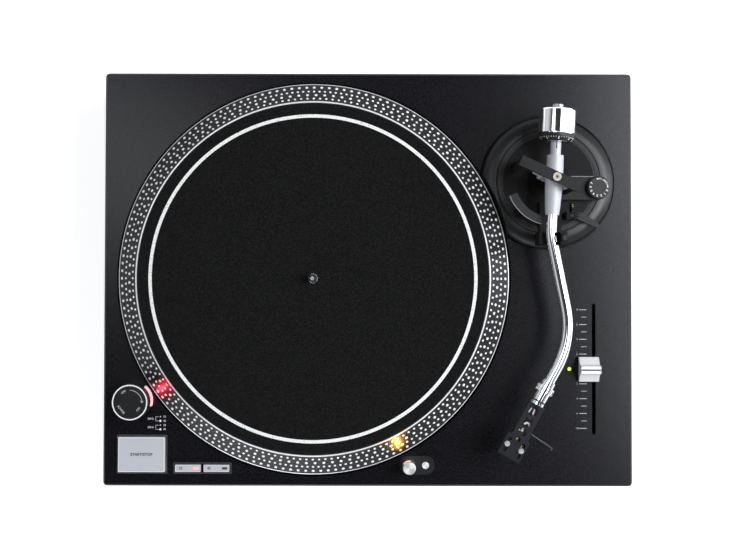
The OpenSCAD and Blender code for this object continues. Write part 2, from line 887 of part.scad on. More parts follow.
module audio_terminals() {
    color([0.75, 0.7, 0.55]) at_audio() rotate([90, 0, 0])
        translate([0, 0, audio_depth - audio_plate_t]) {
        difference() {
            union() {
                translate([-audio_w / 2 + 0.5, -audio_h / 2 + 0.5, 0])
                    cube([audio_w - 1, audio_h - 1, audio_plate_t]);
                for (x = jack_x) translate([x, 0, -jack_l]) cylinder(h = jack_l + 1, r = jack_r);
                for (x = jack_x) translate([x, 0, -1.5]) cylinder(h = 2, r = jack_r + 1.4, $fn = 6);
                translate([ground_x, 0, -6]) cylinder(h = 7, r = 2);
                translate([ground_x, 0, -7]) cylinder(h = 4, r = 4.2);
            }
            for (x = jack_x) translate([x, 0, -jack_l - 1]) cylinder(h = jack_l, r = jack_bore_r);
        }
    }
}

module mains_inlet() {
    color([0.08, 0.08, 0.08]) at_inlet() {
        difference() {
            translate([0, -inlet_l / 2, -inlet_h / 2 + 0.1]) box(inlet_w - 0.2, inlet_l, inlet_h - 0.2);
            translate([0, 0, -inlet_h / 2 + 3]) box(inlet_w - 6, 2 * inlet_cavity, inlet_h - 6);
        }
        for (x = [-4.5, 4.5]) translate([x, -inlet_cavity - 1, 0]) rotate([-90, 0, 0])
            cylinder(h = inlet_pin_l + 1, r = 1.2);
    }
}

module platter() {
    rim_in = platter_r - rim_wall;
    bevel_z = platter_z - bevel_h;
    color([0.1, 0.1, 0.11]) at_platter() rotate_extrude()
        polygon([[nose_r + skin, platter_z], [platter_top_r, platter_z], [platter_r, bevel_z],
            [platter_r, bevel_z - rim_drop], [rim_in, bevel_z - rim_drop], [rim_in, bevel_z - 4],
            [platter_top_r - 2.5, platter_under], [hub_r, platter_under],
            [hub_r, platter_under - hub_drop],
            [nose_r + skin, platter_under - hub_drop]]);
}

module spindle() {
    flange_top = platter_under - hub_drop;
    flange_bottom = flange_top - spindle_flange_t;
    bottom = bearing_bottom + thrust_t + 0.1;
    pin_top = mat_z + pin_h;
    color([0.8, 0.8, 0.82]) at_platter() rotate_extrude()
        polygon([[0, bottom], [shaft_r, bottom], [shaft_r, flange_bottom],
        [spindle_flange_r, flange_bottom],
            [spindle_flange_r, flange_top], [nose_r, flange_top], [nose_r, mat_z], [pin_r, mat_z],
            [pin_r, pin_top], [pin_r - 2, pin_top + pin_tip_h], [0, pin_top + pin_tip_h]]);
}

module rotor_magnet() {
    color([0.3, 0.3, 0.32]) at_platter() translate([0, 0, platter_under - magnet_drop])
        ring(magnet_r + magnet_t, magnet_r, magnet_drop);
}

module slipmat() {
    color([0.05, 0.05, 0.05]) at_platter() translate([0, 0, platter_z])
        ring(mat_r, nose_r + 0.25, mat_t);
}

// A push button: a cap through the deck, a lip under it and a plunger over its switch
module push_button(w, d, lip_w, lip_d, rise, travel) {
    lip_top = deck_under - gap;
    lip_z = lip_top - button_flange;
    plunger_z = control_board_z + tact_h + travel + gap;
    color([0.78, 0.79, 0.82]) {
        translate([0, 0, lip_z]) rounded_slab(w, d, deck_z + rise - lip_z, 0.6);
        translate([0, 0, lip_z]) box(lip_w, lip_d, button_flange);
        translate([0, 0, plunger_z]) cylinder(h = lip_z - plunger_z + 0.5, r = plunger_r);
    }
}

module start_stop_button() {
    at_start() push_button(start_w, start_d, start_w + 2 * button_lip, start_d + 2 * button_lip,
        start_rise, start_travel);
}

module speed_button_33() {
    translate([speed_33_x, speed_y, 0])
        push_button(speed_w, speed_d, speed_w + 2 * speed_lip, speed_tab_d, speed_rise, speed_travel);
}

module speed_button_45() {
    translate([speed_45_x, speed_y, 0])
        push_button(speed_w, speed_d, speed_w + 2 * speed_lip, speed_tab_d, speed_rise, speed_travel);
}

module power_knob() {
    bottom = deck_z + tower_h + gap;
    color([0.06, 0.06, 0.065]) at_tower() {
        rotate_extrude() polygon([[0, bottom], [tower_r, bottom], [tower_r, bottom + knob_h - 0.8],
            [tower_r - 0.8, bottom + knob_h], [0, bottom + knob_h]]);
        translate([0, 0, deck_under - 10]) cylinder(h = bottom - deck_under + 11, r = knob_stem_r);
    }
}

module at_pivot() {
    translate([pivot_x, pivot_y, 0]) children();
}

// Frame on the arm's axis at the pivot: the arm points along -Y
module at_arm() {
    translate([pivot_x, pivot_y, arm_z]) rotate([0, 0, arm_heading]) children();
}

// The same frame with +Z along the arm, toward the front
module along_arm() {
    at_arm() rotate([90, 0, 0]) children();
}

// A straight run of a rod along the tube's route, and what follows it; radius 0 draws nothing
module straight_run(l, r) {
    if (r > 0) translate([0, run_lap, 0]) rotate([90, 0, 0]) cylinder(h = l + 2 * run_lap, r = r);
    translate([0, -l, 0]) children();
}

// A bend of the rod, and what follows it; a positive angle turns toward +X
module bend_run(bend_r, angle, r) {
    side = sign(angle);
    if (r > 0) translate([side * bend_r, 0, 0]) rotate([0, 0, side > 0 ? 180 : 0])
        rotate_extrude(angle = angle) translate([bend_r, 0]) circle(r - run_step);
    translate([side * bend_r, 0, 0]) rotate([0, 0, angle]) translate([-side * bend_r, 0, 0]) children();
}

module along_tube(r = 0) {
    at_arm() translate([0, -barrel_front + tube_inside, 0])
        straight_run(tube_inside + tube_run_1, r)
        bend_run(tube_bend_1_r, tube_bend_1, r)
        straight_run(tube_run_2, r)
        bend_run(tube_bend_2_r, tube_bend_2, r)
        straight_run(tube_run_3, r)
        children();
}

// Frame at the rear edge of the headshell
module at_shell() {
    along_tube() translate([0, -socket_l, 0]) children();
}

module arm_skirt() {
    foot_z = deck_z + skirt_foot_h;
    dome_h = skirt_h - skirt_foot_h;
    dome_w = skirt_r - skirt_top_r;
    dome = [for (t = [0 : 6 : 90]) [skirt_top_r + dome_w * cos(t), foot_z + dome_h * sin(t)]];
    color([0.12, 0.12, 0.13]) difference() {
        at_pivot() rotate_extrude() polygon(concat([[skirt_sleeve_r, deck_z], [skirt_r, deck_z]], dome,
            [[ring_r + 0.6, deck_z + skirt_h], [ring_r + 0.6, skirt_ledge_z],
            [skirt_sleeve_in, skirt_ledge_z],
            [skirt_sleeve_in, deck_z - skirt_sleeve_l], [skirt_sleeve_r, deck_z - skirt_sleeve_l]]));
        at_platter() translate([0, 0, deck_z - 1]) cylinder(h = far, r = well_r + 0.6);
    }
}

module height_ring() {
    rim_in = base_r + gap;
    color([0.14, 0.14, 0.15]) at_pivot() rotate_extrude()
        polygon([[ring_in, ring_z], [ring_r, ring_z], [ring_r, ring_z + ring_h - 0.8],
            [ring_r - 0.8, ring_z + ring_h], [rim_in, ring_z + ring_h],
            [rim_in, ring_z + ring_flange_h],
            [ring_in, ring_z + ring_flange_h]]);
}

module arm_base() {
    cue_slot_x = (cue_ears[0] + cue_ear_t + cue_ears[1]) / 2;
    color([0.13, 0.13, 0.14]) at_pivot() difference() {
        union() {
            translate([0, 0, base_z]) cylinder(h = base_t, r = base_r);
            translate([0, 0, base_z - base_sleeve_l])
                ring(base_sleeve_r, base_sleeve_in, base_sleeve_l + 1);
            translate([0, 0, base_top - 1]) cylinder(h = post_top - base_top + 1, r = pivot_post_r);
            rotate([0, 0, lift_mid]) translate([lift_mid_r, 0, base_top - 1])
                cylinder(h = lift_boss_h + 1, r = lift_boss_r);
            for (x = cue_ears) translate([x, cue_y - cue_ear_half, base_top - 1])
                cube([cue_ear_t, 2 * cue_ear_half, cue_z - base_top + 1 + cue_ear_half]);
        }
        translate([0, 0, base_z - 1]) cylinder(h = far, r = lower_shaft_r + run_fit);
        rotate([0, 0, lift_mid]) translate([lift_mid_r, 0, base_z + 0.6])
            cylinder(h = far, r = lift_post_r + run_fit);
        translate([cue_ears[0] - 1, cue_y, cue_z]) rotate([0, 90, 0])
            cylinder(h = 12, r = cue_pin_r + run_fit);
        translate([cue_slot_x - cue_slot_w / 2, cue_slot_front, base_top - cue_slot_h])
            cube([cue_slot_w, cue_slot_back - cue_slot_front, far]);
        translate([0, 0, base_top - disc_groove_h])
            ring(disc_groove_r + disc_groove_w / 2, disc_groove_r - disc_groove_w / 2, far);
    }
}

module arm_arch() {
    color([0.2, 0.2, 0.21]) at_pivot() rotate([0, 0, tilt_dir]) difference() {
        union() {
            translate([-arch_left, -arch_w / 2, arch_z]) cube([arch_left + arch_right, arch_w, arch_t]);
            translate([-arch_left, -arch_w / 2, base_top])
                cube([arch_leg_left, arch_w, arch_z - base_top + 1]);
            translate([arch_leg_at, -arch_w / 2, base_top])
                cube([arch_leg_right, arch_w, arch_z - base_top + 1]);
        }
        translate([0, 0, arch_z - 1]) cylinder(h = far, r = pivot_screw_r + skin);
    }
}

module pivot_screw() {
    head_z = arch_z + arch_t;
    color([0.8, 0.8, 0.82]) at_pivot() difference() {
        union() {
            translate([0, 0, head_z]) cylinder(h = 1.1, r = pivot_head_r);
            translate([0, 0, arch_z + 0.2]) cylinder(h = arch_t + 0.5, r = pivot_screw_r);
            translate([0, 0, gimbal_top - 0.9]) cylinder(h = arch_z - gimbal_top + 1.5, r = tilt_pin_r);
        }
        for (a = [0, 90]) rotate([0, 0, a + tilt_dir]) translate([0, 0, head_z + 0.5]) box(4.6, 0.9, 2);
    }
}

module anti_skate_housing() {
    color([0.15, 0.15, 0.16]) at_pivot() difference() {
        union() {
            translate([0, 0, base_top + over_ring]) linear_extrude(skate_top - base_top - over_ring) {
                translate([skate_left, skate_y - skate_half])
                    square([skate_x - skate_left, 2 * skate_half]);
                translate([skate_x, skate_y]) circle(skate_half);
            }
            intersection() {
                translate([skate_left, skate_y - skate_half, base_top])
                    cube([skate_x - skate_left, 2 * skate_half, over_ring + 1]);
                translate([0, 0, base_top]) cylinder(h = over_ring + 1, r = base_r - 0.2);
            }
        }
        translate([skate_x, skate_y, skate_top - 4.5]) cylinder(h = far, r = skate_stem_r + run_fit);
        rotate([0, 0, tilt_dir]) translate([arch_leg_at - gap, -arch_w / 2 - gap, base_top - 1])
            cube([arch_leg_right + 2 * gap, arch_w + 2 * gap, far]);
    }
}

module anti_skate_knob() {
    bottom = skate_top + gap;
    color([0.16, 0.16, 0.17]) at_pivot() translate([skate_x, skate_y, 0]) {
        rotate_extrude()
            polygon([[0, bottom], [skate_knob_r, bottom], [skate_knob_r, bottom + skate_knob_h - 1],
            [skate_knob_r - 1, bottom + skate_knob_h], [0, bottom + skate_knob_h]]);
        translate([0, 0, skate_top - 4]) cylinder(h = 5, r = skate_stem_r);
    }
}

module arm_rest() {
    ear_x = rest_prong_in;
    plate_w = rest_plate_right - rest_plate_left;
    color([0.05, 0.05, 0.055]) at_pivot() difference() {
        union() {
            translate([rest_plate_left, rest_foot_front, base_top])
                cube([plate_w, rest_plate_back - rest_foot_front, over_ring + 1]);
            translate([rest_plate_left, rest_front, base_top + over_ring])
                cube([plate_w, rest_plate_back - rest_front, rest_plate_t]);
            translate([rest_left, rest_front, base_top + over_ring])
                cube([ear_x + rest_prong_t - rest_left, rest_back - rest_front,
                    rest_floor_z - base_top - over_ring]);
            translate([ear_x, rest_front, rest_floor_z - 1])
                cube([rest_prong_t, rest_back - rest_front, latch_z - rest_floor_z - 2.2]);
            for (y = [rest_front, rest_back - rest_ear_t]) translate([ear_x, y, rest_floor_z])
                cube([rest_prong_t, rest_ear_t, latch_z - rest_floor_z + 2.2]);
        }
        translate([rest_prong_x, rest_back + 1, latch_z]) rotate([90, 0, 0])
            cylinder(h = rest_back - rest_front + 2, r = latch_pin_r + run_fit);
    }
}

module rest_latch() {
    y_in = rest_back - rest_ear_t - 0.4;
    width = rest_back - rest_front - 2 * rest_ear_t - 0.8;
    color([0.06, 0.06, 0.065]) at_pivot() translate([rest_prong_x, 0, latch_z]) {
        translate([0, rest_back - 0.2, 0]) rotate([90, 0, 0])
            cylinder(h = rest_back - rest_front - 0.4, r = latch_pin_r);
        translate([0, y_in, 0]) rotate([90, 0, 0]) cylinder(h = width, r = 1.9);
        rotate([0, latch_open, 0]) translate([-latch_l, y_in - width, -latch_t / 2])
            cube([latch_l, width, latch_t]);
    }
}

module cue_lever() {
    root = cue_ears[1] + cue_ear_t + 0.5;
    color([0.06, 0.06, 0.065]) at_pivot() translate([0, cue_y, cue_z]) {
        translate([cue_ears[0] - 0.5, 0, 0]) rotate([0, 90, 0])
            cylinder(h = root - cue_ears[0] + 2, r = cue_pin_r);
        translate([cue_ears[0] + cue_ear_t + 0.3, 0, 0]) rotate([0, 90, 0])
            cylinder(h = cue_ears[1] - cue_ears[0] - cue_ear_t - 0.6, r = 3.2);
        translate([0, 0, -1.5]) linear_extrude(3)
            polygon([[root, -3], [root, 2.6], [root + 5.5, 2.6], [root + 19, -8], [root + 17.5, -10.6]]);
    }
}

module arm_lift() {
    color([0.08, 0.08, 0.085]) at_pivot() {
        translate([0, 0, lift_top - lift_t]) rotate([0, 0, lift_from])
            rotate_extrude(angle = lift_to - lift_from)
            translate([lift_r_in, 0]) square([lift_r_out - lift_r_in, lift_t]);
        rotate([0, 0, lift_mid]) translate([lift_mid_r, 0, base_z + 1])
            cylinder(h = lift_top - base_z - 1 - lift_t + 1, r = lift_post_r);
    }
}

module gimbal() {
    color([0.7, 0.7, 0.72]) at_pivot() rotate([0, 0, tilt_dir]) difference() {
        union() {
            intersection() {
                translate([0, 0, gimbal_bottom])
                    box(2 * gimbal_half_w, 2 * gimbal_half_d, gimbal_top - gimbal_bottom);
                cylinder(h = far, r = gimbal_corner_r);
            }
            translate([-ear_reach, 0, arm_z]) rotate([0, 90, 0])
                cylinder(h = ear_reach - 11, r = ear_r);
            translate([0, 0, lower_shaft_bottom])
                cylinder(h = gimbal_bottom - lower_shaft_bottom + 1, r = lower_shaft_r);
        }
        translate([0, 0, arm_z - gimbal_open])
            box(2 * (gimbal_half_w - gimbal_wall), 4 * gimbal_half_d, 2 * gimbal_open);
        translate([-far / 2, 0, arm_z]) rotate([0, 90, 0]) cylinder(h = far, r = tilt_pin_r + skin);
        translate([0, 0, gimbal_top - 1.2]) cylinder(h = 2, r = tilt_pin_r + run_fit);
    }
}

module pivot_pins() {
    color([0.8, 0.8, 0.82]) at_pivot() rotate([0, 0, tilt_dir]) translate([0, 0, arm_z])
        rotate([0, 90, 0]) {
        translate([0, 0, 5.5]) cylinder(h = gimbal_half_w - 5.5, r = tilt_pin_r);
        translate([0, 0, -ear_reach]) cylinder(h = ear_reach - 5.5, r = tilt_pin_r);
        translate([0, 0, -ear_reach - 1]) cylinder(h = 1, r = 2.4);
    }
}

module arm_barrel() {
    color([0.72, 0.72, 0.74]) difference() {
        along_arm() rotate_extrude()
            polygon([[0, -stub_end], [stub_r, -stub_end], [stub_r, -barrel_rear],
            [barrel_r - 0.3, -barrel_rear],
                [barrel_r, -8], [barrel_r, 8], [barrel_r - 0.9, barrel_front - 6],
                [tube_r + 1, barrel_front],
                [tube_r + skin, barrel_front], [tube_r + skin, barrel_front - tube_inside - run_lap],
                [0, barrel_front - tube_inside - run_lap]]);
        at_pivot() rotate([0, 0, tilt_dir]) translate([-far / 2, 0, arm_z]) rotate([0, 90, 0])
            cylinder(h = far, r = tilt_pin_r + run_fit);
        along_arm() translate([0, 0, -stub_end - 1]) box(0.8, 20, 5);
    }
}

module arm_tube() {
    color([0.85, 0.85, 0.87]) difference() {
        along_tube(tube_r) rotate([90, 0, 0]) translate([0, 0, -3])
            cylinder(h = socket_l + 3, r = socket_r);
        along_tube(tube_r - tube_wall);
        along_tube() translate([0, -socket_l - 1, 0]) rotate([-90, 0, 0])
            cylinder(h = plug_l + 1, r = plug_r + skin);
        along_tube() rotate([90, 0, 0]) translate([0, 0, socket_groove_from])
            ring(socket_r + 1, socket_groove_r, socket_groove_w);
    }
}

module locking_collar() {
    color([0.8, 0.8, 0.82]) along_tube() rotate([90, 0, 0]) translate([0, 0, collar_from])
        ring(collar_r, socket_r + run_fit, collar_l);
}

module headshell() {
    w = shell_rear_half;
    f = shell_front_half;
    color([0.16, 0.16, 0.17]) at_shell() {
        rotate([-90, 0, 0]) cylinder(h = plug_l - 0.2, r = plug_r);
        translate([-w, -shell_heel, -plug_r])
            cube([2 * w, shell_heel, shell_bottom + plug_r + board_sunk]);
        difference() {
            translate([0, 0, shell_bottom]) linear_extrude(shell_t)
                polygon([[-w, 0], [w, 0], [w, -shell_step], [f, -shell_step - shell_flare],
                [f, -shell_l], [-f, -shell_l],
                    [-f, -shell_step - shell_flare], [-w, -shell_step]]);
            for (p = shell_holes)
                translate([0, -p[0], -far / 2]) cylinder(h = far, r = p[1]);
            for (s = [-1, 1]) translate([s * screw_spread / 2, -shell_slot_at, -far / 2]) {
                for (end = [-1, 1]) translate([0, end * shell_slot_half, 0])
                    cylinder(h = far, r = shell_slot_r);
                box(2 * shell_slot_r, 2 * shell_slot_half, far);
            }
        }
    }
}

module cartridge() {
    color([0.07, 0.07, 0.075]) at_shell() difference() {
        translate([0, -cartridge_rear, shell_bottom]) {
            translate([-cartridge_w / 2, -cartridge_l, -cartridge_flange])
                cube([cartridge_w, cartridge_l, cartridge_flange]);
            rotate([90, 0, 90]) linear_extrude(cartridge_body_w, center = true)
                polygon([[0, -3], [0, -cartridge_h + 3], [-5, -cartridge_h],
                [-cartridge_l + 2, -cartridge_h],
                    [-cartridge_l, -cartridge_h + 6], [-cartridge_l, -3]]);
        }
        for (s = [-1, 1]) translate([s * screw_spread / 2, -screw_at, shell_bottom - 5])
            cylinder(h = 6, r = shell_screw_r + skin);
    }
}

module stylus() {
    front = -cartridge_rear - cartridge_l + 8;
    z = shell_bottom - cartridge_h;
    color([0.75, 0.75, 0.3]) at_shell() {
        translate([-3.5, front - 5, z - 1]) cube([7, 5, 1]);
        translate([0, front - 3, z - 0.8]) rotate([106, 0, 0]) cylinder(h = 5, r = 0.35);
        translate([0, front - 7.4, z - stylus_h]) cylinder(h = 1.2, r1 = 0.1, r2 = 0.4);
    }
}

module cartridge_screws() {
    color([0.85, 0.85, 0.87]) at_shell() for (s = [-1, 1])
        translate([s * screw_spread / 2, -screw_at, 0]) {
        difference() {
            translate([0, 0, shell_top]) cylinder(h = 1.4, r = 2.25);
            translate([0, 0, shell_top + 0.8]) box(5, 0.7, 2);
        }
        translate([0, 0, shell_bottom - 4.8]) cylinder(h = shell_t + 5.3, r = shell_screw_r);
    }
}

module finger_lift() {
    color([0.3, 0.3, 0.32]) at_shell()
        translate([shell_rear_half, -finger_at, shell_bottom + shell_t / 2]) rotate([0, 0, finger_turn]) {
        rotate([0, 90, 0]) cylinder(h = finger_l, r = finger_r);
        translate([finger_l, 0, 0]) sphere(finger_r);
        translate([finger_l, 0, 0]) rotate([60, 0, 0]) cylinder(h = 2, r = finger_r);
    }
}

module weight_sleeve() {
    color([0.6, 0.6, 0.3]) along_arm() translate([0, 0, -weight_back - weight_l / 2])
        ring(weight_sleeve_r, stub_r + run_fit, weight_l);
}

module counterweight() {
    rear = -weight_back - weight_l / 2;
    front = rear + weight_l;
    bore = weight_sleeve_r + run_fit;
    color([0.85, 0.85, 0.87]) along_arm() rotate_extrude()
        polygon([[bore, rear], [weight_r - 1, rear], [weight_r, rear + 1], [weight_r, front - 1],
            [weight_r - 1, front], [dial_hub_r, front], [dial_hub_r, front + dial_hub_l],
            [bore, front + dial_hub_l]]);
}

module force_dial() {
    rear = -weight_back + weight_l / 2 + 0.2;
    color([0.05, 0.05, 0.055]) along_arm() rotate_extrude()
        polygon([[dial_hub_r + run_fit, rear], [dial_r, rear], [dial_r, rear + 2.2],
            [dial_front_r, rear + dial_hub_l - 0.4], [dial_hub_r + run_fit, rear + dial_hub_l - 0.4]]);
}

plinth();
base_tray();
case_screws();
foot_front_left();
foot_front_right();
foot_rear_left();
foot_rear_right();
bearing_housing();
motor_board();
motor_stator();
motor_coils();
main_board();
transformer();
control_board();
power_switch();
strobe_tower();
strobe_window();
target_pod();
pitch_pot();
pitch_led();
arm_skirt();
audio_terminals();
mains_inlet();
platter();
spindle();
rotor_magnet();
slipmat();
pitch_cap();
pitch_stem();
start_stop_button();
speed_button_33();
speed_button_45();
power_knob();
target_lamp();
target_lens();
target_button();
height_ring();
arm_base();
arm_arch();
pivot_screw();
anti_skate_housing();
arm_rest();
gimbal();
arm_barrel();
arm_tube();
pivot_pins();
headshell();
cartridge();
stylus();
cartridge_screws();
finger_lift();
locking_collar();
weight_sleeve();
counterweight();
force_dial();
anti_skate_knob();
cue_lever();
arm_lift();
rest_latch();
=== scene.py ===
# %% [markdown]
# # A direct drive turntable
#
# This lesson dresses a turntable that was built beforehand as exact solids. The solids give every size and
# every moving part. Here they get finishes, printed scales, strobe dots, wiring and light, so that the
# rendered picture looks like a studio photograph taken from straight above.
#
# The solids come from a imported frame. Loading it first gives each part its place, in metres, and everything
# that follows is measured from those parts, so nothing has to be fitted by eye.

from math import atan2, cos, degrees, pi, radians, sin

import bmesh
import bpy
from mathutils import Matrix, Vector


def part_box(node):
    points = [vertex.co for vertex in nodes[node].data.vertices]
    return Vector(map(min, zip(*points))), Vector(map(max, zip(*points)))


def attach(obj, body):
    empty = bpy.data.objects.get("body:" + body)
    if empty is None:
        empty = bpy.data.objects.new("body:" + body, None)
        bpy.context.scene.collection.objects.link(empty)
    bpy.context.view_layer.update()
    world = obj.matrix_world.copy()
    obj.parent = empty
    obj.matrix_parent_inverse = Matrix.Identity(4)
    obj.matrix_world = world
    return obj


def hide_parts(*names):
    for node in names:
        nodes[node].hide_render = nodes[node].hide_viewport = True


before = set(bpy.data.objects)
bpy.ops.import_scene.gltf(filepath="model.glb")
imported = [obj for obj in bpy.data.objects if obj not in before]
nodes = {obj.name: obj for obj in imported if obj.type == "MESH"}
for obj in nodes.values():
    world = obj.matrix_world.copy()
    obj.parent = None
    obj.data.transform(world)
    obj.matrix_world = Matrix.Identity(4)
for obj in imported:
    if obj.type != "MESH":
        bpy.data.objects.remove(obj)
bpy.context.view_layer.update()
MM = 0.001

# %% [markdown]
# ## Places to measure from
#
# Every printed mark and small fitting belongs to some part of the turntable. A box around that part gives
# its middle and its top, and those few points are enough to place the rest. Keeping them in one cell means
# that a change to the solids moves the dressing along with them.

# %% Centres and tops of the main parts


def middle_of(node):
    low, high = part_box(node)
    return (low + high) / 2


def top_of(node):
    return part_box(node)[1].z


platter_axis = middle_of("platter")
tower_axis = middle_of("strobe_tower")
lamp_axis = middle_of("target_lamp")
deck_top = top_of("plinth")
print("platter axis", tuple(round(v / MM, 2) for v in platter_axis.xy), "deck top", round(deck_top / MM, 2))

# %% [markdown]
# ## The camera
#
# The photograph was taken from almost straight above, leaning a little to the back, with a fairly long
# lens. A camera that looks down needs no aiming constraint: a rotation of nearly zero about X already
# points it at the deck. A small vertical shift keeps the deck's edges parallel to the frame, as in the
# photograph.

# %% Look straight down
CAMERA_PLACE = (0.0, -0.0093, 1.088)
CAMERA_LEAN = radians(1.3)
CAMERA_ROLL = radians(0.1)
LENS_MM, SENSOR_MM, SHIFT_UP = 57.35, 36, -0.0226
camera_data = bpy.data.cameras.new("photo_camera")
camera_data.sensor_width = SENSOR_MM
camera_data.lens = LENS_MM
camera_data.shift_y = SHIFT_UP
camera = bpy.data.objects.new("photo_camera", camera_data)
camera.location = CAMERA_PLACE
camera.rotation_euler = (CAMERA_LEAN, 0, CAMERA_ROLL)
bpy.context.scene.collection.objects.link(camera)
bpy.context.scene.camera = camera
bpy.context.scene.view_settings.view_transform = "Standard"
print("camera", LENS_MM, "mm,", CAMERA_PLACE[2], "m above the floor")

# %% [markdown]
# ## Light and floor
#
# Black paint and chrome show the room more than their own colour, so the light is mostly large panels. One
# big panel stands to the right, which is why the deck is paler towards that side. A lower one beside it
# lights the right flanks of round parts, a long low one in front brightens the platter's front slope, and a
# weak one hangs to the left. The room has bright walls and a dark ceiling: flat black parts that face the
# camera show the ceiling and stay dark, and chrome tubes show a wall on each side.
#
# The floor is pale and takes the turntable's shadow. For rays that come from the camera, or by way of metal
# and glass, it also glows a little, so that it reads as a white sweep without any more light on the deck.

# %% Panels of light


def aimed_lamp(name, kind, place, target, colour, power):
    data = bpy.data.lights.new(name, kind)
    data.color = colour
    data.energy = power
    lamp = bpy.data.objects.new(name, data)
    lamp.location = place
    lamp.rotation_euler = (Vector(target) - Vector(place)).to_track_quat("-Z", "Y").to_euler()
    bpy.context.scene.collection.objects.link(lamp)
    return lamp


def light_panel(name, place, target, size, power):
    panel = aimed_lamp(name, "AREA", place, target, PANEL_COLOUR, power)
    panel.data.shape = "RECTANGLE"
    panel.data.size, panel.data.size_y = size


PANEL_COLOUR = (0.93, 0.95, 1)
light_panel("key_panel", place=(0.91, 0.12, 1.35), target=(0.1, 0, 0.08), size=(1.0, 0.8), power=23)
light_panel("fill_panel", place=(-0.5, 0.25, 1.5), target=(-0.1, 0, 0.08), size=(0.35, 0.8), power=2.5)
light_panel("right_panel", place=(1.3, 0.1, 0.75), target=(0.1, 0, 0.1), size=(0.5, 1.1), power=10)
light_panel("front_panel", place=(-0.5, -1.1, 0.38), target=(-0.05, 0, 0.08), size=(1.1, 0.4), power=5)

# %% Bright walls and a dark ceiling
WALL_TOP, CEILING_EDGE = 0.4, 0.72
WALL_LIGHT, CEILING_LIGHT = 0.7, 0.04
world = bpy.data.worlds.new("studio")
bpy.context.scene.world = world
world.use_nodes = True
room = world.node_tree.nodes["Background"]
room.inputs["Color"].default_value = (0.95, 0.97, 1, 1)
view_way = world.node_tree.nodes.new("ShaderNodeTexCoord")
parts_of_way = world.node_tree.nodes.new("ShaderNodeSeparateXYZ")
wall_to_ceiling = world.node_tree.nodes.new("ShaderNodeMapRange")
wall_to_ceiling.inputs["From Min"].default_value = WALL_TOP
wall_to_ceiling.inputs["From Max"].default_value = CEILING_EDGE
wall_to_ceiling.inputs["To Min"].default_value = WALL_LIGHT
wall_to_ceiling.inputs["To Max"].default_value = CEILING_LIGHT
world.node_tree.links.new(view_way.outputs["Generated"], parts_of_way.inputs["Vector"])
world.node_tree.links.new(parts_of_way.outputs["Z"], wall_to_ceiling.inputs["Value"])
world.node_tree.links.new(wall_to_ceiling.outputs["Result"], room.inputs["Strength"])
print("room light from", WALL_LIGHT, "at the walls to", CEILING_LIGHT, "overhead")

# %% The pale floor
FLOOR_SIZE, FLOOR_GLOW = 6, 0.7
bpy.ops.object.select_all(action="DESELECT")
bpy.ops.mesh.primitive_plane_add(size=FLOOR_SIZE)
floor = bpy.context.object
floor.name = "floor"
paper = bpy.data.materials.new("floor_paper")
paper.use_nodes = True
tree = paper.node_tree
sheet_skin = tree.nodes["Principled BSDF"]
sheet_skin.inputs["Base Color"].default_value = (0.8, 0.8, 0.8, 1)
sheet_skin.inputs["Roughness"].default_value = 0.9
seen = tree.nodes.new("ShaderNodeLightPath")
any_seen = tree.nodes.new("ShaderNodeMath")
any_seen.operation = "MAXIMUM"
glass_or_eye = tree.nodes.new("ShaderNodeMath")
glass_or_eye.operation = "MAXIMUM"
glow = tree.nodes.new("ShaderNodeMath")
glow.operation = "MULTIPLY"
glow.inputs[1].default_value = FLOOR_GLOW
tree.links.new(seen.outputs["Is Camera Ray"], any_seen.inputs[0])
tree.links.new(seen.outputs["Is Glossy Ray"], any_seen.inputs[1])
tree.links.new(any_seen.outputs[0], glass_or_eye.inputs[0])
tree.links.new(seen.outputs["Is Transmission Ray"], glass_or_eye.inputs[1])
tree.links.new(glass_or_eye.outputs[0], glow.inputs[0])
sheet_skin.inputs["Emission Color"].default_value = (1, 1, 1, 1)
tree.links.new(glow.outputs[0], sheet_skin.inputs["Emission Strength"])
floor.data.materials.append(paper)
print("floor", floor.dimensions.x, "m across")

# %% [markdown]
# ## Effects that several finishes share
#
# A real surface is never one flat colour. Paint has a fine speckle, turned metal has rings, handled parts
# are shinier in places. Each of these is a small node group with named inputs, so one effect can be placed
# in many materials with its own values. The groups give out masks only; colour and gloss stay in each
# material.

# %% Helpers for shader nodes


def shader_node(tree, kind, **values):
    node = tree.nodes.new(kind)
    for name, value in values.items():
        setattr(node, name, value)
    return node


def new_effect(name, inputs, outputs):
    group = bpy.data.node_groups.new(name, "ShaderNodeTree")
    for label, kind, value in inputs:
        group.interface.new_socket(label, in_out="INPUT", socket_type=kind).default_value = value
    for label in outputs:
        group.interface.new_socket(label, in_out="OUTPUT", socket_type="NodeSocketFloat")
    return group, group.nodes.new("NodeGroupInput"), group.nodes.new("NodeGroupOutput")


FLOAT, VECTOR = "NodeSocketFloat", "NodeSocketVector"
effects = {}
print("an effect takes sockets of the kinds", FLOAT, "and", VECTOR)

# %% Fine speckle


def build_speckle():
    group, given, result = new_effect("speckle", [("Scale", FLOAT, 900.0)], ["Mask", "Height"])
    place = shader_node(group, "ShaderNodeTexCoord")
    noise = shader_node(group, "ShaderNodeTexNoise")
    noise.inputs["Detail"].default_value = 2
    sharpen = shader_node(group, "ShaderNodeMapRange")
    sharpen.inputs["From Min"].default_value = 0.42
    sharpen.inputs["From Max"].default_value = 0.66
    group.links.new(place.outputs["Object"], noise.inputs["Vector"])
    group.links.new(given.outputs["Scale"], noise.inputs["Scale"])
    group.links.new(noise.outputs["Fac"], sharpen.inputs["Value"])
    group.links.new(sharpen.outputs["Result"], result.inputs["Mask"])
    group.links.new(noise.outputs["Fac"], result.inputs["Height"])
    return group


effects["speckle"] = build_speckle()
print("effects so far", len(effects))

# %% Handling marks


